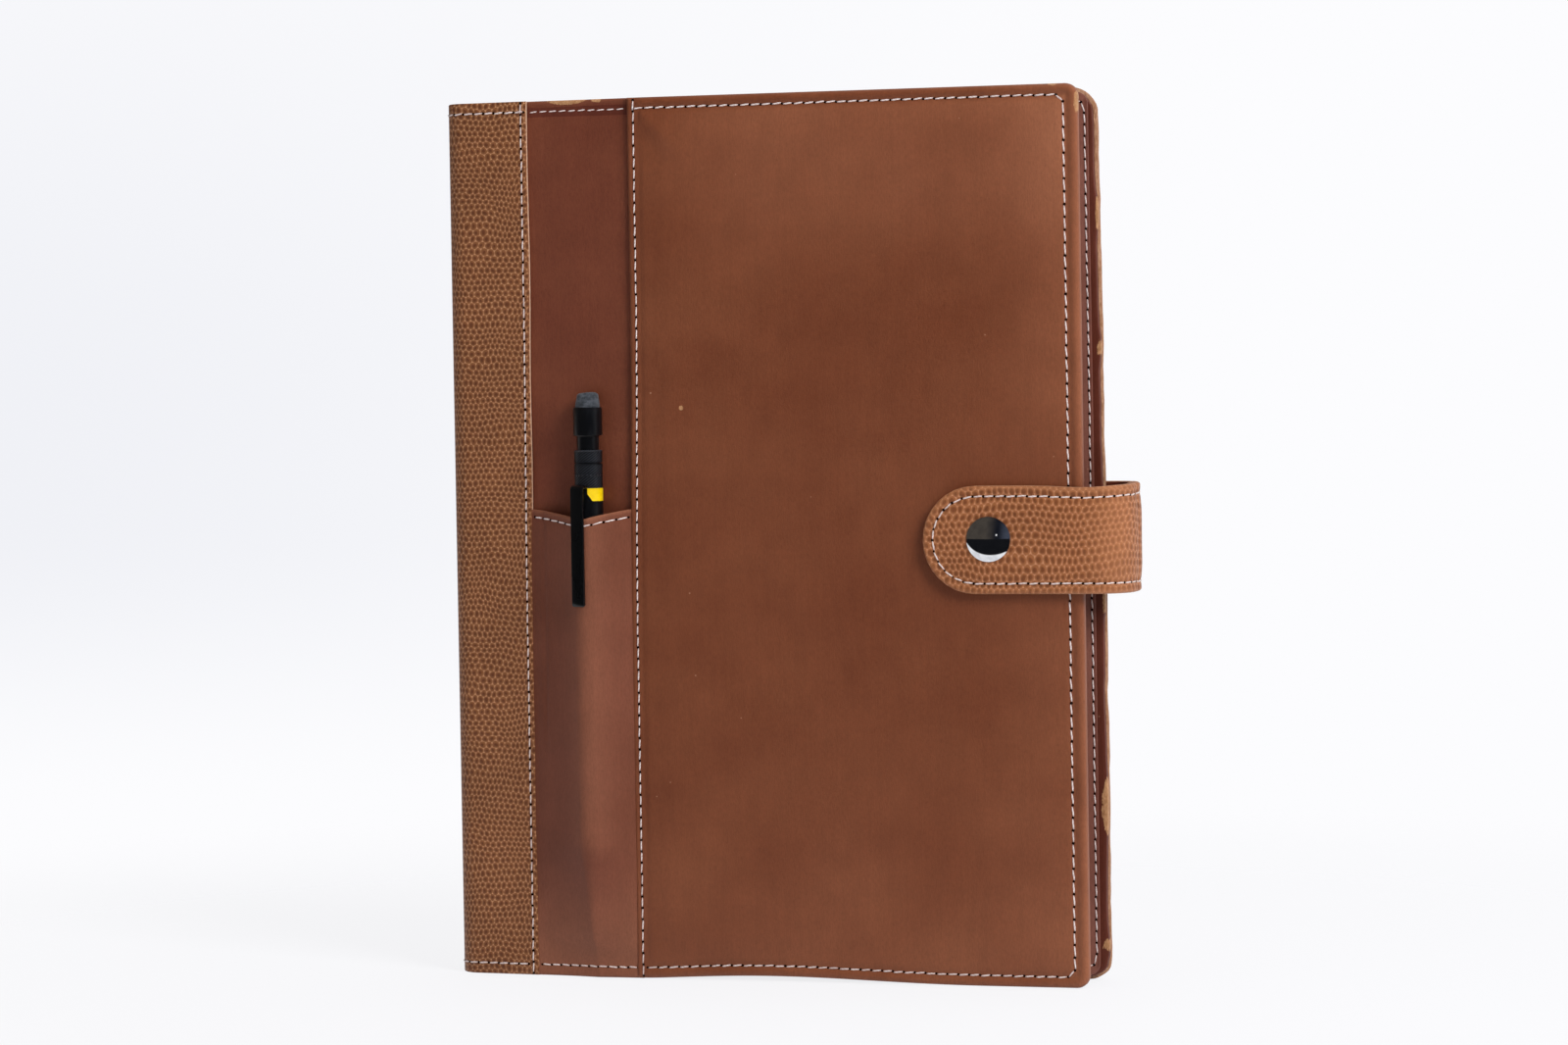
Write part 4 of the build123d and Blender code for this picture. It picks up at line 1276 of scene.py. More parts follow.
def strap_layer(low, high, depth, thickness, corners, rims, outer, materials, name):
    """One half of one layer of the strap."""
    turns = bend_stops(tail_run, first_turn_end) + bend_stops(
        second_turn, second_turn + loop_quarter
    )
    along_cuts = [s for s in turns if low + 0.2 * MM < s < high - 0.2 * MM]
    margins = tuple(m * MM for m in (0.9, 1.6, 2.1, 2.6, 3.1, 3.8, 5.0, 7.0))
    along_cuts += [s for s in stops(low, high, 1.6 * MM) if s < tail_run or s > second_turn]
    blank = leather_blank(
        (low, strap_low),
        (high, strap_high),
        thickness,
        corners,
        rims,
        (along_cuts, stops(strap_low, strap_high, 1.6 * MM, margins)),
    )
    face_sides(blank, 1, 2)
    if outer:
        wear_and_light = blank.verts.layers.float.new("wear_and_light")
        for v in blank.verts:
            # The strap's edges pale with wear; the band round the bend is paler partly from polish and
            # partly as painted highlight.
            bend = hump(v.co.x - second_turn - 0.5 * loop_quarter, 0.45 * loop_quarter)
            v[wear_and_light] = 0.6 * hump(strap_inside(v.co.x, v.co.z), 0.9 * MM) + 0.38 * bend
            v.co.y -= (1 - v.co.y / thickness) * strap_swell(v.co.x, v.co.z)
    for v in blank.verts:
        v.co.z += strap_lift(v.co.x, v.co.z)
    bend_along(blank, strap_route, depth)
    return add_piece(blank, name, materials)


outer_faces = [strap_calf, cut_edge, suede_back]
inner_faces = [lining_leather, cut_edge, lining_leather]
outer_rims = (0.75 * MM, 0.15 * MM)
inner_rims = (0.2 * MM, 0.45 * MM)
tail_corners = (tail_corner, 0, 0, tail_corner)
tip_corners = (0, tip_radius, tip_radius, 0)
strap_back_outer = strap_layer(
    0, strap_split, 0, strap_outer, tail_corners, outer_rims, True, outer_faces, "strap_outer_back"
)
strap_back_inner = strap_layer(
    0.2 * MM,
    strap_split,
    strap_outer,
    strap_inner,
    tail_corners,
    inner_rims,
    False,
    inner_faces,
    "strap_inner_back",
)
strap_front_outer = strap_layer(
    strap_split,
    strap_end,
    0,
    strap_outer,
    tip_corners,
    outer_rims,
    True,
    outer_faces,
    "strap_outer_front",
)
strap_front_inner = strap_layer(
    strap_split,
    strap_end - 0.2 * MM,
    strap_outer,
    strap_inner,
    tip_corners,
    inner_rims,
    False,
    inner_faces,
    "strap_inner_front",
)


def strap_turn_ends(along_from, along_to, depth):
    """The two points, half way up the strap, between which a layer turns at a hinge."""
    ends = []
    for along in (along_from, along_to):
        place, _ = follow(strap_route, along, depth)
        ends.append((place.x, place.y, strap_middle))
    return ends


def bend_strap_back(piece, depth=0.0):
    """Finds where the strap turns from its tail into the loop, and bakes the piece's transform."""
    fixed_end, loop_end = strap_turn_ends(tail_run, first_turn_end, depth)
    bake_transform(piece)


def bend_strap_front(piece, depth=0.0):
    """Finds where the strap turns from the loop to its free end, and bakes the piece's transform."""
    loop_end, free_end = strap_turn_ends(second_turn, second_turn + loop_quarter, depth)
    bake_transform(piece)


bend_strap_back(strap_back_outer)
bend_strap_back(strap_back_inner, strap_outer)
bend_strap_front(strap_front_outer)
bend_strap_front(strap_front_inner, strap_outer)
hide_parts("strap_tail_leather")
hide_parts("strap_tail_lining")
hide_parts("strap_leather", "strap_loop_leather")
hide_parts("strap_lining", "strap_loop_lining")

# %% [markdown]
# ## Sleeves and notebook
#
# Each lining carries a sleeve, a sheet of paler leather sewn on at three sides, which holds one
# card of the notebook. At the fore-edge the back sleeve is all that shows between the covers, as a
# pale band with its row of stitches, beside the darker margin of the lining.

# %% Sleeves
sleeve_leather = smooth_leather("pigskin_sleeve_mauve", "#6E4034", "#794B40", "#8E5D4D")
sleeve_margin = 1.9 * MM
sleeve_thick = 0.9 * MM


def sleeve_drift(z):
    """A sleeve's edge follows most of the way where the back's edge has worked outwards."""
    return 0.30 * MM + 0.5 * back_reach(z)


def sleeve(node, along_cover_low, name, body):
    """A sleeve's sheet between the card's slot and the notebook, as its CAD node lies."""
    low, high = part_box(node)
    top_y = low.y
    blank = leather_blank(
        (low.x, low.z + 0.6 * MM),
        (high.x - along_cover_low, high.z - 0.6 * MM),
        sleeve_thick,
        (0, front_corner, front_corner, 0),
        (0.35 * MM, 0.2 * MM),
        (
            stops(low.x, high.x - along_cover_low, 6 * MM, (0.8 * MM, 1.3 * MM, 1.9 * MM, 3 * MM)),
            stops(low.z, high.z, 8 * MM, (3 * MM,)),
        ),
    )
    wear_and_light = blank.verts.layers.float.new("wear_and_light")
    for v in blank.verts:
        edge = high.x - along_cover_low - v.co.x
        valley = 0.25 * hump(edge - 0.9 * MM, 0.6 * MM)
        drop = 0.5 * eased(1 - edge / (4 * MM))
        sway = 0.12 * waviness(v.co.x, v.co.z, 40 * MM, 11.0)
        # A paler band just inside the seam is painted highlight, where light falls on the sleeve's puff.
        v[wear_and_light] = 0.35 * hump(edge - 2.4 * MM, 1.2 * MM)
        v.co.x += sleeve_drift(v.co.z) * eased(1 - edge / (15 * MM))
        v.co.y += top_y + (valley + drop + sway * eased(edge / (6 * MM))) * MM
    piece = add_piece(blank, name, [sleeve_leather])
    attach(piece, body)
    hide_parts(node)
    return piece


back_sleeve = sleeve("back_sleeve", sleeve_margin, "back_sleeve_leather", "back_cover")

# %% Front sleeve
# The front sleeve faces the other way, so its flat blank is mirrored about its own middle.
front_low, front_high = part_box("front_sleeve")
front_sleeve = sleeve("front_sleeve", sleeve_margin, "front_sleeve_leather", "front_cover")
flip = bmesh.new()
flip.from_mesh(front_sleeve.data)
turn_y = (front_low.y + front_high.y) / 2
bmesh.ops.scale(
    flip, vec=(1, -1, 1), space=Matrix.Translation((0, -turn_y, 0)), verts=flip.verts
)
bmesh.ops.recalc_face_normals(flip, faces=flip.faces)
flip.to_mesh(front_sleeve.data)
flip.free()
front_sleeve.data.shade_smooth()
front_sleeve.data.set_sharp_from_angle(angle=math.radians(40))

# %% [markdown]
# The notebook is a block of thin leaves. From the side each leaf is a hairline, and no two reach
# out quite as far, which is what makes a page block look like paper and not like wood.

# %% Page leaves
paper, tree, shader, place = new_material("uncoated_paper")
fibres = add_node(
    tree, "TexNoise", add_node(tree, "VectorMath", place, (0.4, 0.4, 0.4), operation="DIVIDE"),
    Scale=1.0, Detail=4.0,
)
sheet_tone = add_node(
    tree, "TexNoise", add_node(tree, "VectorMath", place, (60, 0.11, 60), operation="DIVIDE"),
    Scale=1.0, Detail=1.0,
)
paper_tint = add_node(
    tree, "Mix", add_node(tree, "MapRange", sheet_tone, 0.3, 0.7, **eased_ends), colour("#E6E0CF"),
    colour("#F4F0E4"), data_type="RGBA",
)
set_inputs(tree, shader, {
    "Base Color": paper_tint,
    "Normal": add_node(tree, "Bump", Strength=1.0, Distance=0.02 * MM, Height=fibres),
    "Roughness": 0.85,
    "Specular IOR Level": 0.25,
})

random.seed(7)
block_low, block_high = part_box("page_block")
leaf_count = 64
leaf_pitch = (block_high.y - block_low.y) / leaf_count
leaf_corner = 3 * MM
bm = bmesh.new()
for number in range(leaf_count):
    made = bmesh.ops.create_cube(bm, size=1.0)
    width = block_high.x - block_low.x - random.uniform(0.0, 0.35) * MM
    tall = block_high.z - block_low.z - random.uniform(0.0, 0.3) * MM
    bmesh.ops.scale(bm, verts=made["verts"], vec=(width, leaf_pitch * 0.82, tall))
    middle = (
        block_low.x + width / 2,
        block_low.y + (number + 0.5) * leaf_pitch,
        (block_low.z + block_high.z) / 2,
    )
    bmesh.ops.translate(bm, verts=made["verts"], vec=middle)
corners = [
    e
    for e in bm.edges
    if abs(e.verts[0].co.y - e.verts[1].co.y) > leaf_pitch * 0.5 and e.verts[0].co.x > 0
]
bmesh.ops.bevel(
    bm,
    geom=corners,
    offset=leaf_corner,
    offset_type="OFFSET",
    affect="EDGES",
    segments=5,
    profile=0.5,
    material=-1,
)
page_leaves = add_piece(bm, "page_leaves", [paper])
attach(page_leaves, "back_cover")
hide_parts("page_block")


# %% Board, card and book cloth
def give(material, *nodes):
    """Gives CAD nodes a material."""
    for node in nodes:
        mesh = frame["nodes"][node].data
        mesh.materials.clear()
        mesh.materials.append(material)


def fibrous(name, low, high, grain_mm, depth_mm, rough):
    """A pulp or fibre sheet: mottled, matt and a little rough."""
    material, tree, shader, place = new_material(name)
    pulp = add_node(
        tree, "TexNoise",
        add_node(tree, "VectorMath", place, (grain_mm, grain_mm, grain_mm), operation="DIVIDE"),
        Scale=1.0, Detail=5.0, Roughness=0.65,
    )
    tint = add_node(
        tree, "Mix", add_node(tree, "MapRange", pulp, 0.3, 0.7, **eased_ends), colour(low),
        colour(high), data_type="RGBA",
    )
    set_inputs(tree, shader, {
        "Base Color": tint,
        "Normal": add_node(tree, "Bump", Strength=1.0, Distance=depth_mm * MM, Height=pulp),
        "Roughness": rough,
        "Specular IOR Level": 0.3,
    })
    return material


give(fibrous("grey_board", "#8B8069", "#A79A80", 0.8, 0.05, 0.9), "front_board", "back_board")
give(fibrous("spine_board", "#8B8069", "#A79A80", 0.8, 0.05, 0.9), "spine_backing")
card = fibrous("black_card", "#241F1D", "#332C29", 0.5, 0.03, 0.75)
give(card, "notebook_back_card", "notebook_front_card")

book_cloth, tree, shader, place = new_material("woven_book_cloth")
warp = add_node(
    tree, "TexWave", place, Scale=0.55, Distortion=0.6, Detail=1.0, wave_type="BANDS",
    bands_direction="X",
).outputs["Fac"]
weft = add_node(
    tree, "TexWave", place, Scale=0.5, Distortion=0.6, Detail=1.0, wave_type="BANDS",
    bands_direction="Z",
).outputs["Fac"]
weave = add_node(tree, "Math", warp, weft, operation="MULTIPLY")
tint = add_node(tree, "Mix", weave, colour("#15110F"), colour("#2E2724"), data_type="RGBA")
set_inputs(tree, shader, {
    "Base Color": tint,
    "Normal": add_node(tree, "Bump", Strength=1.0, Distance=0.08 * MM, Height=weave),
    "Roughness": 0.9,
    "Sheen Weight": 0.3,
})
give(book_cloth, "binding_tape")
print("sleeves and notebook done")

# %% [markdown]
# ## Snap
#
# The snap's cap is pressed from thin brass and chromed: a low dome with a rolled rim. Polished
# chrome has no colour of its own. What is seen in it is the dark room above and the white table
# below, so its look comes from its curve, and the profile is spun with care.

# %% Polished metals
chrome, tree, shader, place = new_material("polished_chrome")
haze = add_node(
    tree, "TexNoise", add_node(tree, "VectorMath", place, (2.2, 2.2, 2.2), operation="DIVIDE"),
    Scale=1.0, Detail=4.0,
)
scratches = add_node(
    tree, "TexNoise", add_node(tree, "VectorMath", place, (0.12, 3.0, 1.8), operation="DIVIDE"),
    Scale=1.0, Detail=2.0,
)
set_inputs(tree, shader, {
    "Base Color": add_node(
        tree, "Mix", add_node(tree, "MapRange", haze, 0.35, 0.75, **eased_ends),
        colour("#E9EAEC"), colour("#D3D5D9"), data_type="RGBA",
    ),
    "Roughness": add_node(
        tree, "MapRange", add_node(tree, "Math", haze, scratches, operation="MULTIPLY"), 0.2,
        0.45, 0.045, 0.1, **eased_ends,
    ),
    "Metallic": 1.0,
})


def spun(profile, centre, axis, steps, name, material, sharp=math.radians(35)):
    """Spins a profile of (radius, height) about an axis through a point: a closed turned piece."""
    bm = bmesh.new()
    axis = Vector(axis).normalized()
    side = axis.orthogonal().normalized()
    path = [bm.verts.new(Vector(centre) + side * r + axis * h) for r, h in profile]
    edges = [bm.edges.new(pair) for pair in zip(path, path[1:])]
    bmesh.ops.spin(
        bm,
        geom=path + edges,
        cent=centre,
        axis=axis,
        angle=2 * math.pi,
        steps=steps,
        use_merge=True,
        use_duplicate=False,
    )
    bmesh.ops.remove_doubles(bm, verts=bm.verts, dist=1e-6)
    bmesh.ops.recalc_face_normals(bm, faces=bm.faces)
    return bm if name is None else add_piece(bm, name, [material], sharp)


def rounded(points, radius, steps=4):
    """A profile whose inner corners are rounded: (radius, height) points in, more points out."""
    out = [points[0]]
    for before, corner, after in zip(points, points[1:], points[2:]):
        a, b, c = (Vector(p) for p in (before, corner, after))
        reach = min(radius, (a - b).length * 0.45, (c - b).length * 0.45)
        start = b + (a - b).normalized() * reach
        end = b + (c - b).normalized() * reach
        for i in range(steps + 1):
            t = i / steps
            out.append(tuple((1 - t) ** 2 * start + 2 * t * (1 - t) * b + t * t * end))
    out.append(points[-1])
    return out


# %% Snap cap
cap_base_y = snap_high.y
cap_rise = snap_high.y - snap_low.y
rim_radius = snap_radius * 1.11
dome_radius = rim_radius - 0.32 * MM
dome_height = cap_rise - 0.75 * MM
ball = (dome_radius**2 + dome_height**2) / (2 * dome_height)
dome = [(0.0, cap_rise)]
for i in range(1, 25):
    r = dome_radius * i / 24
    dome.append((r, cap_rise - ball + math.sqrt(ball**2 - r**2)))
rim_round = 0.05 * MM
rim_inner = rim_radius - rim_round
skirt = [(rim_inner, 0.12 * MM), (rim_radius, 0.04 * MM), (rim_inner, 0.0)]
cap_profile = dome + skirt + [(rim_radius - 1.2 * MM, 0.0), (0.0, 0.25 * MM)]
snap_centre = Vector((snap_x, cap_base_y, strap_middle + 0.2 * MM))
cap_out = Vector((0, -1, 0))
snap_cap = spun(
    cap_profile, snap_centre, cap_out, 72, "snap_cap_chrome", chrome, math.radians(15)
)
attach(snap_cap, "strap")
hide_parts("snap_cap")
give(chrome, "snap_socket", "snap_stud", "snap_post")


# %% [markdown]
# ## Mechanical pencil
#
# The pencil is turned brass, painted satin black, with a diamond knurl on its collar so that
# fingers can grip it. Each turned part is a profile spun about the pencil's axis. The knurl raises
# every second vertex of the spun grid, in alternate rows, which is how a knurling wheel's teeth
# cross.


# %% Pencil finishes
def satin_black(name, base, glint, rough_low, rough_high, grain_mm):
    """Satin black paint or plastic with faint wear."""
    material, tree, shader, place = new_material(name)
    wear = add_node(
        tree, "TexNoise",
        add_node(tree, "VectorMath", place, (grain_mm, grain_mm, grain_mm * 3), operation="DIVIDE"),
        Scale=1.0, Detail=4.0,
    )
    tint = add_node(
        tree, "Mix", add_node(tree, "MapRange", wear, 0.45, 0.8, **eased_ends), colour(base),
        colour(glint), data_type="RGBA",
    )
    set_inputs(tree, shader, {
        "Base Color": tint,
        "Roughness": add_node(
            tree, "MapRange", wear, 0.3, 0.7, rough_low, rough_high, **eased_ends
        ),
        "Normal": add_node(tree, "Bump", Strength=1.0, Distance=0.008 * MM, Height=wear),
        "Specular IOR Level": 0.35,
    })
    return material


black_paint = satin_black("satin_black_paint", "#0B0C0F", "#15161A", 0.30, 0.40, 1.5)
black_plastic = satin_black("black_moulded_plastic", "#101013", "#1A1A1E", 0.34, 0.46, 2.5)
clip_black = satin_black("enamelled_clip_steel", "#08090B", "#0B0C0F", 0.26, 0.30, 7.0)

black_metal, tree, shader, place = new_material("black_knurled_metal")
wear = add_node(
    tree, "TexNoise", add_node(tree, "VectorMath", place, (0.8, 0.8, 0.8), operation="DIVIDE"),
    Scale=1.0, Detail=3.0,
)
# The knurl's raised points are lighter, partly wear and partly painted highlight.
knurl_wear_and_glint = add_node(tree, "NewGeometry").outputs["Pointiness"]
knurl_wear_and_glint = add_node(tree, "Math", wear, 0.04, knurl_wear_and_glint, operation="MULTIPLY_ADD")
tint = add_node(
    tree, "Mix", add_node(tree, "MapRange", knurl_wear_and_glint, 0.53, 0.62, **eased_ends), colour("#0F1013"),
    colour("#34373E"), data_type="RGBA",
)
set_inputs(tree, shader, {
    "Base Color": tint,
    "Normal": add_node(tree, "Bump", Strength=1.0, Distance=0.008 * MM, Height=wear),
    "Roughness": 0.38,
    "Specular IOR Level": 0.4,
})

rubber, tree, shader, place = new_material("worn_grey_rubber")
smudge = add_node(
    tree, "TexNoise", add_node(tree, "VectorMath", place, (1.6, 1.6, 0.9), operation="DIVIDE"),
    Scale=1.0, Detail=5.0, Roughness=0.6,
)
pits = add_node(
    tree, "TexNoise", add_node(tree, "VectorMath", place, (0.35, 0.35, 0.35), operation="DIVIDE"),
    Scale=1.0, Detail=3.0,
)
tint = add_node(
    tree, "Mix", add_node(tree, "MapRange", smudge, 0.3, 0.7, **eased_ends), colour("#2F3338"),
    colour("#50545B"), data_type="RGBA",
)
dirt = add_node(tree, "MapRange", pits, 0.3, 0.5, 0.7, 1.0, **eased_ends)
tint = add_node(tree, "VectorMath", tint, dirt, operation="SCALE")
set_inputs(tree, shader, {
    "Base Color": tint,
    "Normal": add_node(
        tree, "Bump", Strength=1.0, Distance=0.1 * MM,
        Height=add_node(tree, "Math", smudge, pits, operation="ADD"),
    ),
    "Roughness": 0.88,
    "Specular IOR Level": 0.3,
    "Sheen Weight": 0.15,
})

label_film, tree, shader, place = new_material("yellow_label_film")
print_tone = add_node(
    tree, "TexNoise", add_node(tree, "VectorMath", place, (2.5, 2.5, 1.2), operation="DIVIDE"),
    Scale=1.0, Detail=3.0,
)
tint = add_node(
    tree, "Mix", add_node(tree, "MapRange", print_tone, 0.3, 0.7, **eased_ends), colour("#EBC400"),
    colour("#F7D412"), data_type="RGBA",
)
set_inputs(tree, shader, {
    "Base Color": tint,
    "Normal": add_node(tree, "Bump", Strength=1.0, Distance=0.01 * MM, Height=print_tone),
    "Roughness": 0.34,
    "Coat Weight": 0.3,
})

steel, tree, shader, place = new_material("bright_drawn_steel")
drawn = add_node(
    tree, "TexNoise", add_node(tree, "VectorMath", place, (0.15, 0.15, 4.0), operation="DIVIDE"),
    Scale=1.0, Detail=2.0,
)
tint = add_node(tree, "Mix", drawn, colour("#A9ABAE"), colour("#C9CBCE"), data_type="RGBA")
set_inputs(tree, shader, {
    "Base Color": tint,
    "Normal": add_node(tree, "Bump", Strength=1.0, Distance=0.004 * MM, Height=drawn),
    "Metallic": 1.0,
    "Roughness": 0.28,
})

brass, tree, shader, place = new_material("turned_brass")
turned_marks = add_node(
    tree, "TexNoise", add_node(tree, "VectorMath", place, (3.0, 3.0, 0.15), operation="DIVIDE"),
    Scale=1.0, Detail=2.0,
)
tint = add_node(tree, "Mix", turned_marks, colour("#A9853F"), colour("#CDAA5B"), data_type="RGBA")
set_inputs(tree, shader, {
    "Base Color": tint,
    "Normal": add_node(tree, "Bump", Strength=1.0, Distance=0.006 * MM, Height=turned_marks),
    "Metallic": 1.0,
    "Roughness": 0.3,
})

graphite = fibrous("graphite", "#26262A", "#3A3A3F", 0.3, 0.01, 0.5)
give(graphite, "pencil_lead")
give(brass, "pencil_chuck")
give(steel, "lead_sleeve", "pencil_spring")
give(black_plastic, "lead_tube")
give(black_paint, "pencil_barrel", "pencil_cone")

# %% Push cap and neck
axis_foot = Vector((pencil_axis.x, pencil_axis.y, 0))
push_low, push_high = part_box("pencil_push_cap")
eraser_low, eraser_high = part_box("pencil_eraser")
collar_low, collar_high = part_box("pencil_collar")
up = Vector((0, 0, 1))
cap_wide = (push_high.x - push_low.x) / 2
cap_foot = push_high.z - 7.7 * MM
neck_wide = 3.0 * MM
eraser_wide = (eraser_high.x - eraser_low.x) / 2
bore = eraser_wide + 0.02 * MM
push_profile = rounded(
    [
        (1.6 * MM, push_low.z),
        (neck_wide, push_low.z),
        (neck_wide, cap_foot),
        (cap_wide, cap_foot),
        (cap_wide, push_high.z),
        (bore, push_high.z),
        (bore, push_high.z - 1.5 * MM),
        (1.6 * MM, push_high.z - 1.5 * MM),
        (1.6 * MM, push_low.z),
    ],
    0.35 * MM,
)
push_cap = spun(push_profile, axis_foot, up, 56, "pencil_push_cap_black", black_paint)
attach(push_cap, "pencil_button")
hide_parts("pencil_push_cap")

# %% Eraser, rubbed down and lopsided
eraser_top = eraser_high.z
eraser_foot = push_high.z - 1.4 * MM
eraser_round = 0.95 * MM
side_wide = eraser_wide - 0.22 * MM
top_wide = eraser_wide - 0.42 * MM
eraser_profile = [(0.0, eraser_foot), (side_wide, eraser_foot)]
for i in range(9):
    share = i / 8
    z = push_high.z + (eraser_top - eraser_round - push_high.z) * share
    eraser_profile.append((side_wide + (top_wide - side_wide) * share**1.5, z))
for i in range(1, 8):
    turn = math.pi / 2 * i / 7
    eraser_profile.append(
        (
            top_wide - eraser_round * (1 - math.cos(turn)),
            eraser_top - eraser_round * (1 - math.sin(turn)),
        )
    )
for i in range(1, 6):
    eraser_profile.append(((top_wide - eraser_round) * (1 - i / 5), eraser_top))
bm = spun(eraser_profile, axis_foot, up, 44, None, None)
for v in bm.verts:
    height = eased((v.co.z - push_high.z) / (3.6 * MM))
    lump = noise.noise(v.co / (2.2 * MM))
    fine = noise.noise(v.co / (0.8 * MM))
    lean = (v.co.x - axis_foot.x) / eraser_wide
    v.co.z -= height * (0.22 * lump + 0.10 * fine + 0.12 - 0.16 * lean + 0.10 * lean**2) * MM
    away = Vector((v.co.x - axis_foot.x, v.co.y - axis_foot.y, 0))
    v.co -= away * height * (0.02 + 0.07 * max(-lean, 0) + 0.05 * abs(lump))
eraser = add_piece(bm, "pencil_eraser_worn", [rubber], math.radians(60))
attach(eraser, "pencil_button")
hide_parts("pencil_eraser")

# %% Knurled collar
collar_wide = (collar_high.x - collar_low.x) / 2
collar_bore = 3.1 * MM
knurl_deep = 0.27 * MM
knurl_step = 0.36 * MM
bands = (
    (collar_low.z + 0.5 * MM, collar_high.z - 3.9 * MM),
    (collar_high.z - 3.2 * MM, collar_high.z - 0.5 * MM),
)
profile = [(collar_bore, collar_low.z), (collar_wide - 0.2 * MM, collar_low.z)]
profile.append((collar_wide, collar_low.z + 0.25 * MM))
knurled_rows = {}
for low, high in bands:
    rows = round((high - low) / knurl_step)
    for row in range(rows + 1):
        z = low + (high - low) * row / rows
        knurled_rows[round(z / MM, 4)] = row
        profile.append((collar_wide - 0.02 * MM, z))
    if high < collar_high.z - 2 * MM:
        profile.append((collar_wide, high + 0.12 * MM))
        profile.append((collar_wide - 0.28 * MM, high + 0.26 * MM))
        profile.append((collar_wide - 0.28 * MM, high + 0.44 * MM))
        profile.append((collar_wide, high + 0.56 * MM))
profile.append((collar_wide, collar_high.z - 0.25 * MM))
profile.append((collar_wide - 0.25 * MM, collar_high.z))
profile.append((collar_bore, collar_high.z))
profile.append((collar_bore, collar_low.z))
knurl_teeth = 46
bm = spun(profile, axis_foot, up, knurl_teeth, None, None)
for v in bm.verts:
    row = knurled_rows.get(round(v.co.z / MM, 4))
    away = Vector((v.co.x - axis_foot.x, v.co.y - axis_foot.y, 0))
    if row is None or away.length < collar_wide - 0.1 * MM:
        continue
    tooth = round(math.atan2(away.y, away.x) / (2 * math.pi / knurl_teeth))
    if (tooth + row) % 2:
        v.co -= away.normalized() * knurl_deep
collar = add_piece(bm, "pencil_collar_knurled", [black_metal], math.radians(20))
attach(collar, "pencil")
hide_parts("pencil_collar")

# %% [markdown]
# The clip is a strip of steel bent twice: out from the collar and down, and at its foot a little
# inwards, where it grips the pocket. It is made like the leather, as a flat blank that is bent
# along a route, but the route stands upright.

# %% Clip
clip_low, clip_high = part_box("pencil_clip")
clip_turn = math.radians(16.0)
clip_out = Vector((-math.sin(clip_turn), -math.cos(clip_turn), 0))
clip_side = Vector((math.cos(clip_turn), -math.sin(clip_turn), 0))
clip_thick = 0.9 * MM
clip_wide = 4.0 * MM
clip_reach = (axis_foot.y - clip_low.y - clip_wide / 2 * math.sin(clip_turn)) / math.cos(clip_turn)
clip_bend = 1.15 * MM
foot_bend = 3.2 * MM
foot_turn = math.radians(28)
bridge_run = clip_reach - clip_bend - (collar_wide - 0.3 * MM)
arm_run = clip_high.z - clip_low.z + 0.4 * MM - clip_bend - foot_bend * math.sin(foot_turn)
clip_route = {
    "start": (collar_wide - 0.3 * MM, clip_high.z - 0.5 * MM),
    "heading": 0.0,
    "runs": [
        (bridge_run, None),
        (math.pi / 2 * clip_bend, clip_bend),
        (arm_run, None),
        (foot_turn * foot_bend, foot_bend),
    ],
}
clip_length = sum(run for run, _ in clip_route["runs"])
bend_end = bridge_run + math.pi / 2 * clip_bend
blank = leather_blank(
    (0, -clip_wide / 2),
    (clip_length, clip_wide / 2),
    clip_thick,
    (0, 0.5 * MM, 0.5 * MM, 0),
    (0.22 * MM, 0.22 * MM),
    (
        [bridge_run + (bend_end - bridge_run) * i / 8 for i in range(9)]
        + [clip_length - foot_turn * foot_bend * i / 6 for i in range(1, 7)],
        (),
    ),
)
for v in blank.verts:
    place, _ = follow(clip_route, v.co.x, v.co.y)
    v.co = axis_foot + clip_out * place.x + up * place.y + clip_side * v.co.z
bmesh.ops.recalc_face_normals(blank, faces=blank.faces)
clip = add_piece(blank, "pencil_clip_bent", [clip_black])
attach(clip, "pencil")
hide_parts("pencil_clip")

# %% Label
label_low, label_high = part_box("pencil_label")
label_radius = collar_wide + 0.03 * MM
label_start = math.atan2(clip_out.y, clip_out.x) + math.asin(clip_wide / 2 / collar_wide) - 0.05
label_sweep = math.radians(235)
label_cut = 1.9 * MM
label_foot, label_head = label_low.z + 0.75 * MM, label_high.z + 0.25 * MM
bm = bmesh.new()
ends = [
    axis_foot + Vector((math.cos(label_start), math.sin(label_start), 0)) * label_radius + up * z
    for z in (label_foot, label_head)
]
line = bmesh.ops.create_circle(bm, segments=3, radius=0.1)["verts"]
bmesh.ops.delete(bm, geom=line[2:], context="VERTS")
for v, end in zip(bm.verts, ends):
    v.co = end
bmesh.ops.spin(
    bm,
    geom=bm.verts[:] + bm.edges[:],
    cent=axis_foot,
    axis=up,
    angle=label_sweep,
    steps=48,
    use_merge=False,
    use_duplicate=False,
)
for v in bm.verts:
    if v.co.z < (label_low.z + label_high.z) / 2:
        angle = math.atan2(v.co.y - axis_foot.y, v.co.x - axis_foot.x) - label_start
        run = ((angle + 0.01) % (2 * math.pi)) * label_radius - 0.1 * MM
        v.co.z += label_cut * min(max(1 - run / (1.3 * MM), 0), 1)
bmesh.ops.recalc_face_normals(bm, faces=bm.faces)
bmesh.ops.solidify(bm, geom=bm.faces[:], thickness=0.05 * MM)
bmesh.ops.recalc_face_normals(bm, faces=bm.faces)
label = add_piece(bm, "pencil_label_film", [label_film])
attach(label, "pencil")
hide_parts("pencil_label")

# %% [markdown]
# ## Stitches
#
# A saddler's stitch is a short length of waxed thread that comes out of one needle hole and goes
# down the next. The thread pulls tight, so it leans a little across the seam, and each hole shows
# as a dark dot between two threads. Rays are shot at the leather to find where each hole lies, so
# that every seam follows the valley that it pulls into the surface.

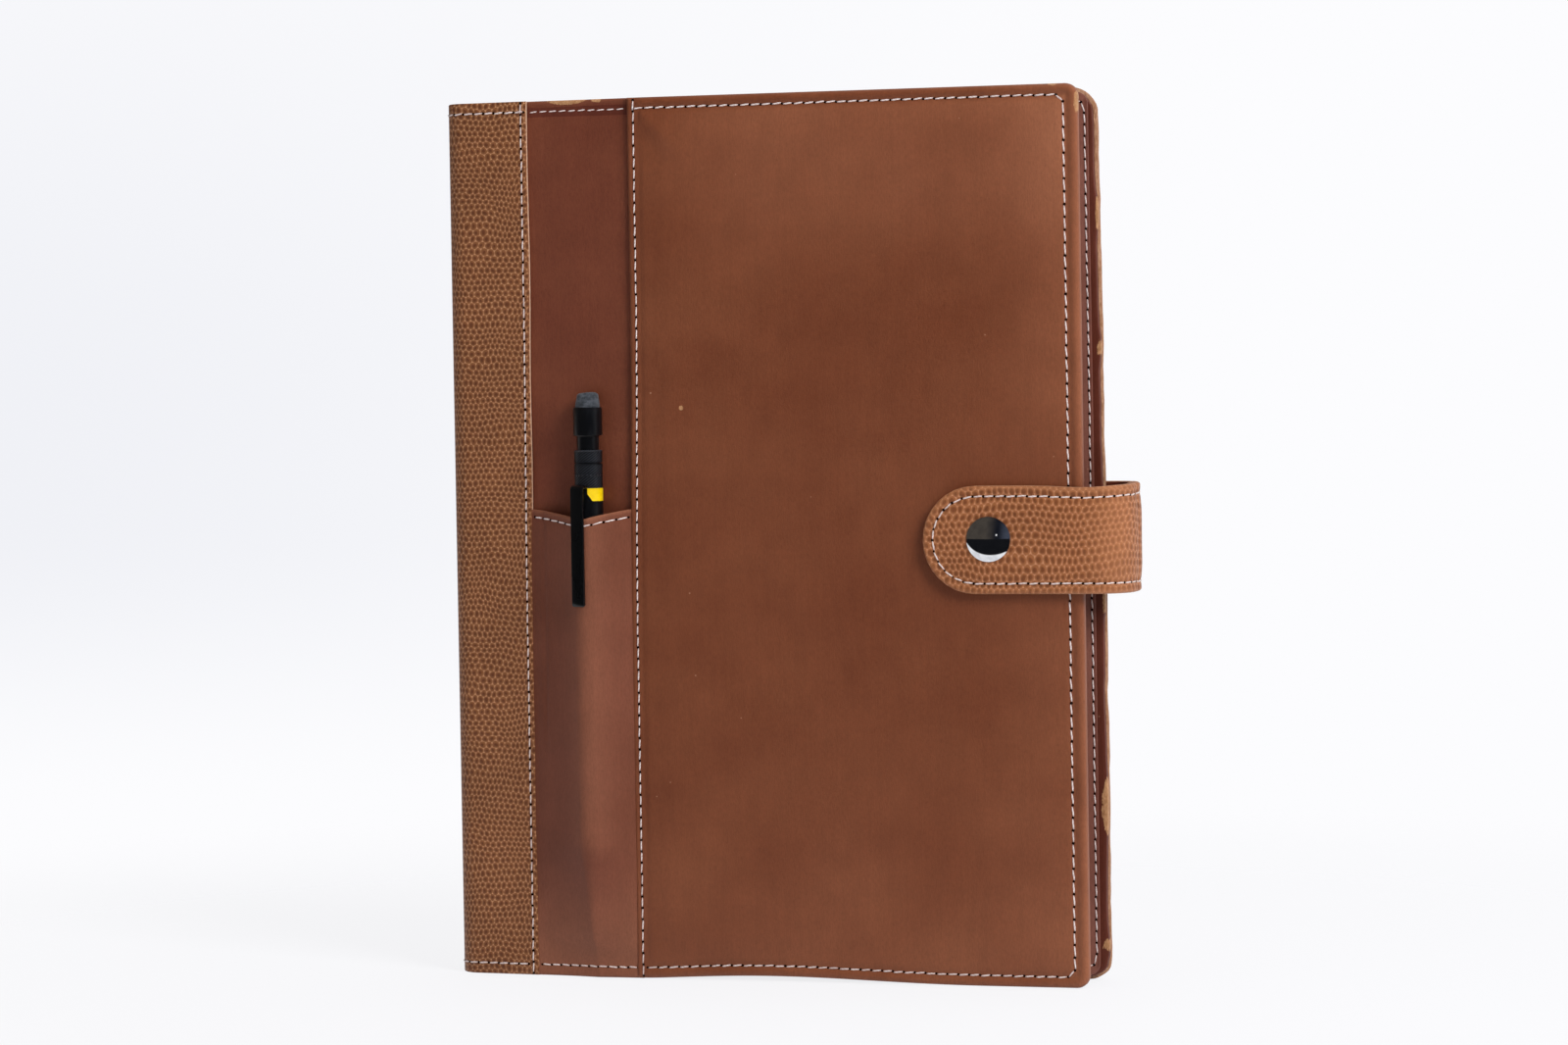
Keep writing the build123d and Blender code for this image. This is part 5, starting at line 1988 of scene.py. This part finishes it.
# %% Thread
thread, tree, shader, place = new_material("waxed_linen_thread")
lie = add_node(tree, "UVMap", uv_map="thread")
ply = add_node(
    tree, "TexWave", lie, Scale=0.62, Distortion=0.4, Detail=0.0, wave_type="BANDS",
    bands_direction="DIAGONAL",
).outputs["Fac"]
fuzz = add_node(
    tree, "TexNoise", add_node(tree, "VectorMath", place, (0.25, 0.25, 0.25), operation="DIVIDE"),
    Scale=1.0, Detail=3.0,
)
soil = add_node(
    tree, "TexNoise", add_node(tree, "VectorMath", place, (9, 9, 9), operation="DIVIDE"), Scale=1.0,
    Detail=2.0,
)
clean = add_node(
    tree, "Mix", add_node(tree, "MapRange", ply, 0.1, 0.6, **eased_ends), colour("#D2BFBB"),
    colour("#E9DCD8"), data_type="RGBA",
)
tint = add_node(
    tree, "Mix", add_node(tree, "MapRange", soil, 0.52, 0.75, 0.0, 0.35, **eased_ends), clean,
    colour("#A08079"), data_type="RGBA",
)
set_inputs(tree, shader, {
    "Base Color": tint,
    "Normal": add_node(
        tree, "Bump", Strength=1.0, Distance=0.03 * MM,
        Height=add_node(tree, "Math", fuzz, 0.4, ply, operation="MULTIPLY_ADD"),
    ),
    "Roughness": 0.6,
    "Sheen Weight": 0.2,
})

hole_dark, tree, shader, place = new_material("needle_hole_shadow")
burnt = add_node(
    tree, "TexNoise", add_node(tree, "VectorMath", place, (0.3, 0.3, 0.3), operation="DIVIDE"),
    Scale=1.0, Detail=2.0,
)
tint = add_node(tree, "Mix", burnt, colour("#0E0705"), colour("#221210"), data_type="RGBA")
set_inputs(tree, shader, {
    "Base Color": tint,
    "Normal": add_node(tree, "Bump", Strength=1.0, Distance=0.05 * MM, Height=burnt),
    "Roughness": 0.95,
    "Specular IOR Level": 0.05,
})


# %% Helpers for seams
needle_away = 9 * MM


def surfaces(*pieces):
    """What the needle goes into: all the pieces' faces in one tree for shooting rays at."""
    points, faces = [], []
    for piece in pieces:
        first = len(points)
        points += [v.co for v in piece.data.vertices]
        faces += [[first + i for i in p.vertices] for p in piece.data.polygons]
    return BVHTree.FromPolygons(points, faces)


def path_along(corners, radius=0.0):
    """A line through rounded flat corners: returns its length and its place at a distance."""
    points = [Vector(corners[0])]
    for before, corner, after in zip(corners, corners[1:], corners[2:]):
        a, b, c = Vector(before), Vector(corner), Vector(after)
        if radius:
            start = b + (a - b).normalized() * radius
            end = b + (c - b).normalized() * radius
            centre = start + end - b
            for i in range(9):
                turn = math.pi / 2 * i / 8
                points.append(centre + (b - end) * math.cos(turn) + (b - start) * math.sin(turn))
                points[-1] = centre + (start - centre) * math.cos(turn) + (end - centre) * math.sin(turn)
        else:
            points.append(b)
    points.append(Vector(corners[-1]))
    lengths = [(q - p).length for p, q in zip(points, points[1:])]

    def place(distance):
        """The point of the line at a distance along it."""
        left = distance
        for (p, q), length in zip(zip(points, points[1:]), lengths):
            if left <= length and length > 0:
                return p + (q - p) * (left / length)
            left -= length
        return points[-1]

    return sum(lengths), place


def on_front(flat):
    """A needle held in front of the panel at (x, z)."""
    return Vector((flat.x, front_y - needle_away, flat.y)), Vector((0, 1, 0))


def on_route(route, inside=0.0):
    """A needle held over a sheet that follows a route, at (along, z)."""

    def held(flat):
        """The needle's start and the way it points."""
        place, outward = follow(route, flat.x, inside)
        start = Vector((place.x, place.y, flat.y)) + Vector((*outward, 0)) * needle_away
        return start, Vector((-outward.x, -outward.y, 0))

    return held


# One thread and one hole are made once, and then laid down many times.
def moulded(name, u_segments, v_segments, blunt, material_index):
    """A small sphere, its ends blunted, as a mesh and the flat list of its coordinates."""
    bm = bmesh.new()
    bmesh.ops.create_uvsphere(bm, u_segments=u_segments, v_segments=v_segments, radius=1.0)
    thread_map = bm.loops.layers.uv.new("thread")
    for v in bm.verts:
        if abs(v.co.z) < 0.99:
            v.co.x, v.co.y = (c * (1 - v.co.z**2) ** -blunt for c in (v.co.x, v.co.y))
    for face in bm.faces:
        face.material_index = material_index
        for loop in face.loops:
            loop[thread_map].uv = (loop.vert.co.z * 1.25, loop.vert.co.x * 0.33)
    mesh = bpy.data.meshes.new(name)
    bm.to_mesh(mesh)
    bm.free()
    shape = [c for v in mesh.vertices for c in v.co]
    return mesh, shape


thread_mould = moulded("thread_mould", 8, 6, 0.22, 0)
hole_mould = moulded("hole_mould", 7, 4, 0.0, 1)


def lay(bm, mould, matrix):
    """Adds a copy of a mould to a mesh."""
    mesh, shape = mould
    mesh.vertices.foreach_set("co", shape)
    mesh.transform(matrix)
    bm.from_mesh(mesh)


def sew(bm, target, line, needle, pitch=3.1 * MM, lean=7.0, width=0.45 * MM, seed=0):
    """Lays threads and needle holes along a line."""
    chance = random.Random(seed)
    total, place = line
    count = max(1, round(total / pitch))
    step = total / count

    def touch(distance):
        """Where the needle meets the leather at a distance along the seam, and the normal there."""
        start, way = needle(place(min(max(distance, 0.02 * MM), total - 0.02 * MM)))
        spot, normal, _, _ = target.ray_cast(start, way, 30 * MM)
        if spot is not None and normal.dot(way) > 0:
            normal = -normal
        return spot, normal

    for i in range(count):
        near, _ = touch(i * step)
        far, _ = touch((i + 1) * step)
        spot, normal = touch((i + 0.5) * step)
        if near is None or far is None or spot is None:
            continue
        along = (far - near).normalized()
        side = normal.cross(along).normalized()
        normal = along.cross(side).normalized()
        angle = math.radians(lean + chance.uniform(-2.5, 2.5))
        lie_along = along * math.cos(angle) + side * math.sin(angle)
        lie_side = normal.cross(lie_along)
        half = (far - near).length * 0.5 * chance.uniform(0.80, 0.87)
        middle = (near + far) / 2
        middle += normal * ((spot - middle).dot(normal) + 0.09 * MM)
        middle += side * chance.uniform(-0.06, 0.06) * MM
        axes = (lie_side * width / 2, normal * width * 0.42, lie_along * half, middle)
        lay(bm, thread_mould, Matrix([(*(a[row] for a in axes),) for row in range(3)] + [(0, 0, 0, 1)]))
    for i in range(count + 1):
        spot, normal = touch(i * step)
        if spot is None:
            continue
        wide = 0.42 * MM * chance.uniform(0.9, 1.1)
        flat = Matrix.Diagonal((wide, wide, 0.06 * MM, 1.0))
        turn = normal.to_track_quat("Z", "Y").to_matrix().to_4x4()
        lay(bm, hole_mould, Matrix.Translation(spot + normal * 0.015 * MM) @ turn @ flat)


def seam_piece(name, rows):
    """One object of stitches from several rows."""
    bm = bmesh.new()
    for number, row in enumerate(rows):
        sew(bm, **row, seed=len(name) * 100 + number)
    bmesh.ops.recalc_face_normals(bm, faces=bm.faces)
    return add_piece(bm, name, [thread, hole_dark], math.radians(80))


# %% [markdown]
# One seam runs round the whole cover, three millimetres in from its edge. Others hold the wrap's
# edge, the panel's edge and the pocket's hem.

# %% Seams on the front
edge_inset = 2.95 * MM
fore_inset = 3.7 * MM
corner_cut = 1.9 * MM
top_row = cover_height - edge_inset
panel_tree = surfaces(front_panel)
strip_tree = surfaces(front_strip, pen_pocket)
wrap_tree = surfaces(embossed_wrap)
on_cover = on_route(cover_route)


def follow_lift(flat):
    """Holds the needle over the panel, lifted as its bottom edge is."""
    start, way = on_front(flat)
    start.z += bottom_rise(flat.x, flat.y)
    return start, way


def strip_lift(flat):
    """The same over the strip."""
    start, way = on_cover(flat)
    start.z += bottom_rise(start.x, flat.y)
    return start, way


# The rows along the ends have shorter stitches than the row down the fore-edge, and one slanted
# stitch turns each corner.
fore_line = fore_x - fore_inset
panel_corners = [
    ((panel_x + seam_inset, top_row), (fore_line - corner_cut, top_row), 3.0),
    ((fore_line - corner_cut, top_row), (fore_line, top_row - corner_cut), 2.7),
    ((fore_line, top_row - corner_cut), (fore_line, edge_inset + corner_cut), 3.4),
    ((fore_line, edge_inset + corner_cut), (fore_line - corner_cut, edge_inset), 2.7),
    ((fore_line - corner_cut, edge_inset), (panel_x + seam_inset, edge_inset), 3.0),
]
panel_rows = []
for start, end, pitch in panel_corners:
    line = path_along([start, end])
    panel_rows.append(
        dict(target=panel_tree, line=line, needle=follow_lift, lean=6.0, pitch=pitch * MM)
    )
panel_seam = seam_piece("seam_panel_edge", panel_rows)
left_line = path_along(
    [
        (panel_x + seam_inset - seam_drift(z, 1.15 * MM), z)
        for z in (cover_height - 0.7 * MM - i * (cover_height - 1.4 * MM) / 24 for i in range(25))
    ]
)
left_seam = seam_piece(
    "seam_panel_left",
    [dict(target=panel_tree, line=left_line, needle=follow_lift, lean=-3.0, width=0.40 * MM)],
)
strip_rows = []
for z, lean in ((top_row, 6.0), (edge_inset, -4.0)):
    line = path_along([(along_panel + 0.6 * MM, z), (along_seam - 0.3 * MM, z)])
    strip_rows.append(
        dict(target=strip_tree, line=line, needle=strip_lift, lean=lean, pitch=2.9 * MM)
    )
hem_count = 24
hem_line = path_along(
    [
        (
            along_panel + 0.9 * MM + (pocket_width - 1.6 * MM) * i / hem_count,
            pocket_top
            - 2.1 * MM
            - mouth_drop(0.9 * MM + (pocket_width - 1.6 * MM) * i / hem_count),
        )
        for i in range(hem_count + 1)
    ]
)
strip_rows.append(
    dict(
        target=strip_tree,
        line=hem_line,
        needle=on_cover,
        lean=3.0,
        pitch=2.7 * MM,
        width=0.42 * MM,
    )
)
strip_seam = seam_piece("seam_strip_pocket", strip_rows)
for piece in (panel_seam, left_seam, strip_seam):
    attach(piece, "front_cover")

# %% Seams on the embossed sheet
wrap_line = along_seam + 1.5 * MM
wrap_rows = [
    dict(
        target=wrap_tree,
        line=path_along(
            [
                (wrap_line + seam_drift(z, 0.6 * MM), z)
                for z in (cover_height * (1 - i / 24) + (i / 12 - 1) * 0.5 * MM for i in range(25))
            ]
        ),
        needle=on_cover,
        lean=-2.5,
        width=0.39 * MM,
    )
]
for z, lean in ((top_row, 6.0), (edge_inset, 4.0)):
    line = path_along([(along_seam + 0.5 * MM, z), (along_middle, z)])
    wrap_rows.append(dict(target=wrap_tree, line=line, needle=on_cover, lean=lean))
wrap_seam = seam_piece("seam_wrap_spine", wrap_rows)
bend_at_front(wrap_seam)

back_tree = surfaces(embossed_back)
back_line = path_along(
    [
        (along_middle, top_row),
        (along_end - edge_inset, top_row),
        (along_end - edge_inset, edge_inset),
        (along_middle, edge_inset),
    ],
    5.0 * MM,
)
back_seam = seam_piece(
    "seam_back_edge", [dict(target=back_tree, line=back_line, needle=on_cover, lean=-5.0)]
)
bend_at_back(back_seam)

# %% Seams on the strap
strap_tree = surfaces(strap_front_outer)
tail_tree = surfaces(strap_back_outer)


def on_strap(flat):
    """A needle held over the strap, which is lifted behind the loop."""
    start, way = on_route(strap_route)(flat)
    start.z += strap_lift(flat.x, flat.y)
    return start, way


low_row, high_row = strap_low + strap_stitch, strap_high - strap_stitch
tip_line = path_along(
    [
        (strap_split, high_row),
        (strap_end - strap_stitch, high_row),
        (strap_end - strap_stitch, low_row),
        (strap_split, low_row),
    ],
    tip_radius - strap_stitch,
)
tip_seam = seam_piece(
    "seam_strap_front",
    [
        dict(
            target=strap_tree,
            line=tip_line,
            needle=on_strap,
            pitch=3.0 * MM,
            lean=4.0,
            width=0.42 * MM,
        )
    ],
)
bend_strap_front(tip_seam)
tail_line = path_along(
    [
        (strap_split, high_row),
        (strap_stitch, high_row),
        (strap_stitch, low_row),
        (strap_split, low_row),
    ],
    1.6 * MM,
)
cross_line = path_along([(tail_run - 8 * MM, high_row), (tail_run - 8 * MM, low_row)])
tail_seam = seam_piece(
    "seam_strap_back",
    [
        dict(target=tail_tree, line=tail_line, needle=on_strap, pitch=3.0 * MM, width=0.42 * MM),
        dict(target=tail_tree, line=cross_line, needle=on_strap, pitch=3.0 * MM, width=0.42 * MM),
    ],
)
bend_strap_back(tail_seam)


# %% Seams on the sleeves
def sleeve_seam(piece, facing, name, body):
    """The seam that holds a sleeve at its top, fore-edge and bottom, seen from inside the cover."""
    low_x = min(v.co.x for v in piece.data.vertices)
    high_x = max(v.co.x for v in piece.data.vertices) - sleeve_drift(0)
    low_z = min(v.co.z for v in piece.data.vertices)
    high_z = max(v.co.z for v in piece.data.vertices)
    face_y = piece.data.vertices[0].co.y

    def held(flat):
        """The needle's start and the way it points."""
        x = flat.x + sleeve_drift(flat.y) * eased(1 - (high_x - flat.x) / (15 * MM))
        return Vector((x, face_y - facing * needle_away, flat.y)), Vector((0, facing, 0))

    line = path_along(
        [
            (low_x + 1 * MM, high_z - 2.2 * MM),
            (high_x - 0.9 * MM, high_z - 2.2 * MM),
            (high_x - 0.9 * MM, low_z + 2.2 * MM),
            (low_x + 1 * MM, low_z + 2.2 * MM),
        ],
        2.6 * MM,
    )
    row = dict(target=surfaces(piece), line=line, needle=held, lean=5.0, width=0.39 * MM)
    seam = seam_piece(name, [row])
    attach(seam, body)
    return seam


sleeve_seam(back_sleeve, 1, "seam_back_sleeve", "back_cover")
sleeve_seam(front_sleeve, -1, "seam_front_sleeve", "front_cover")
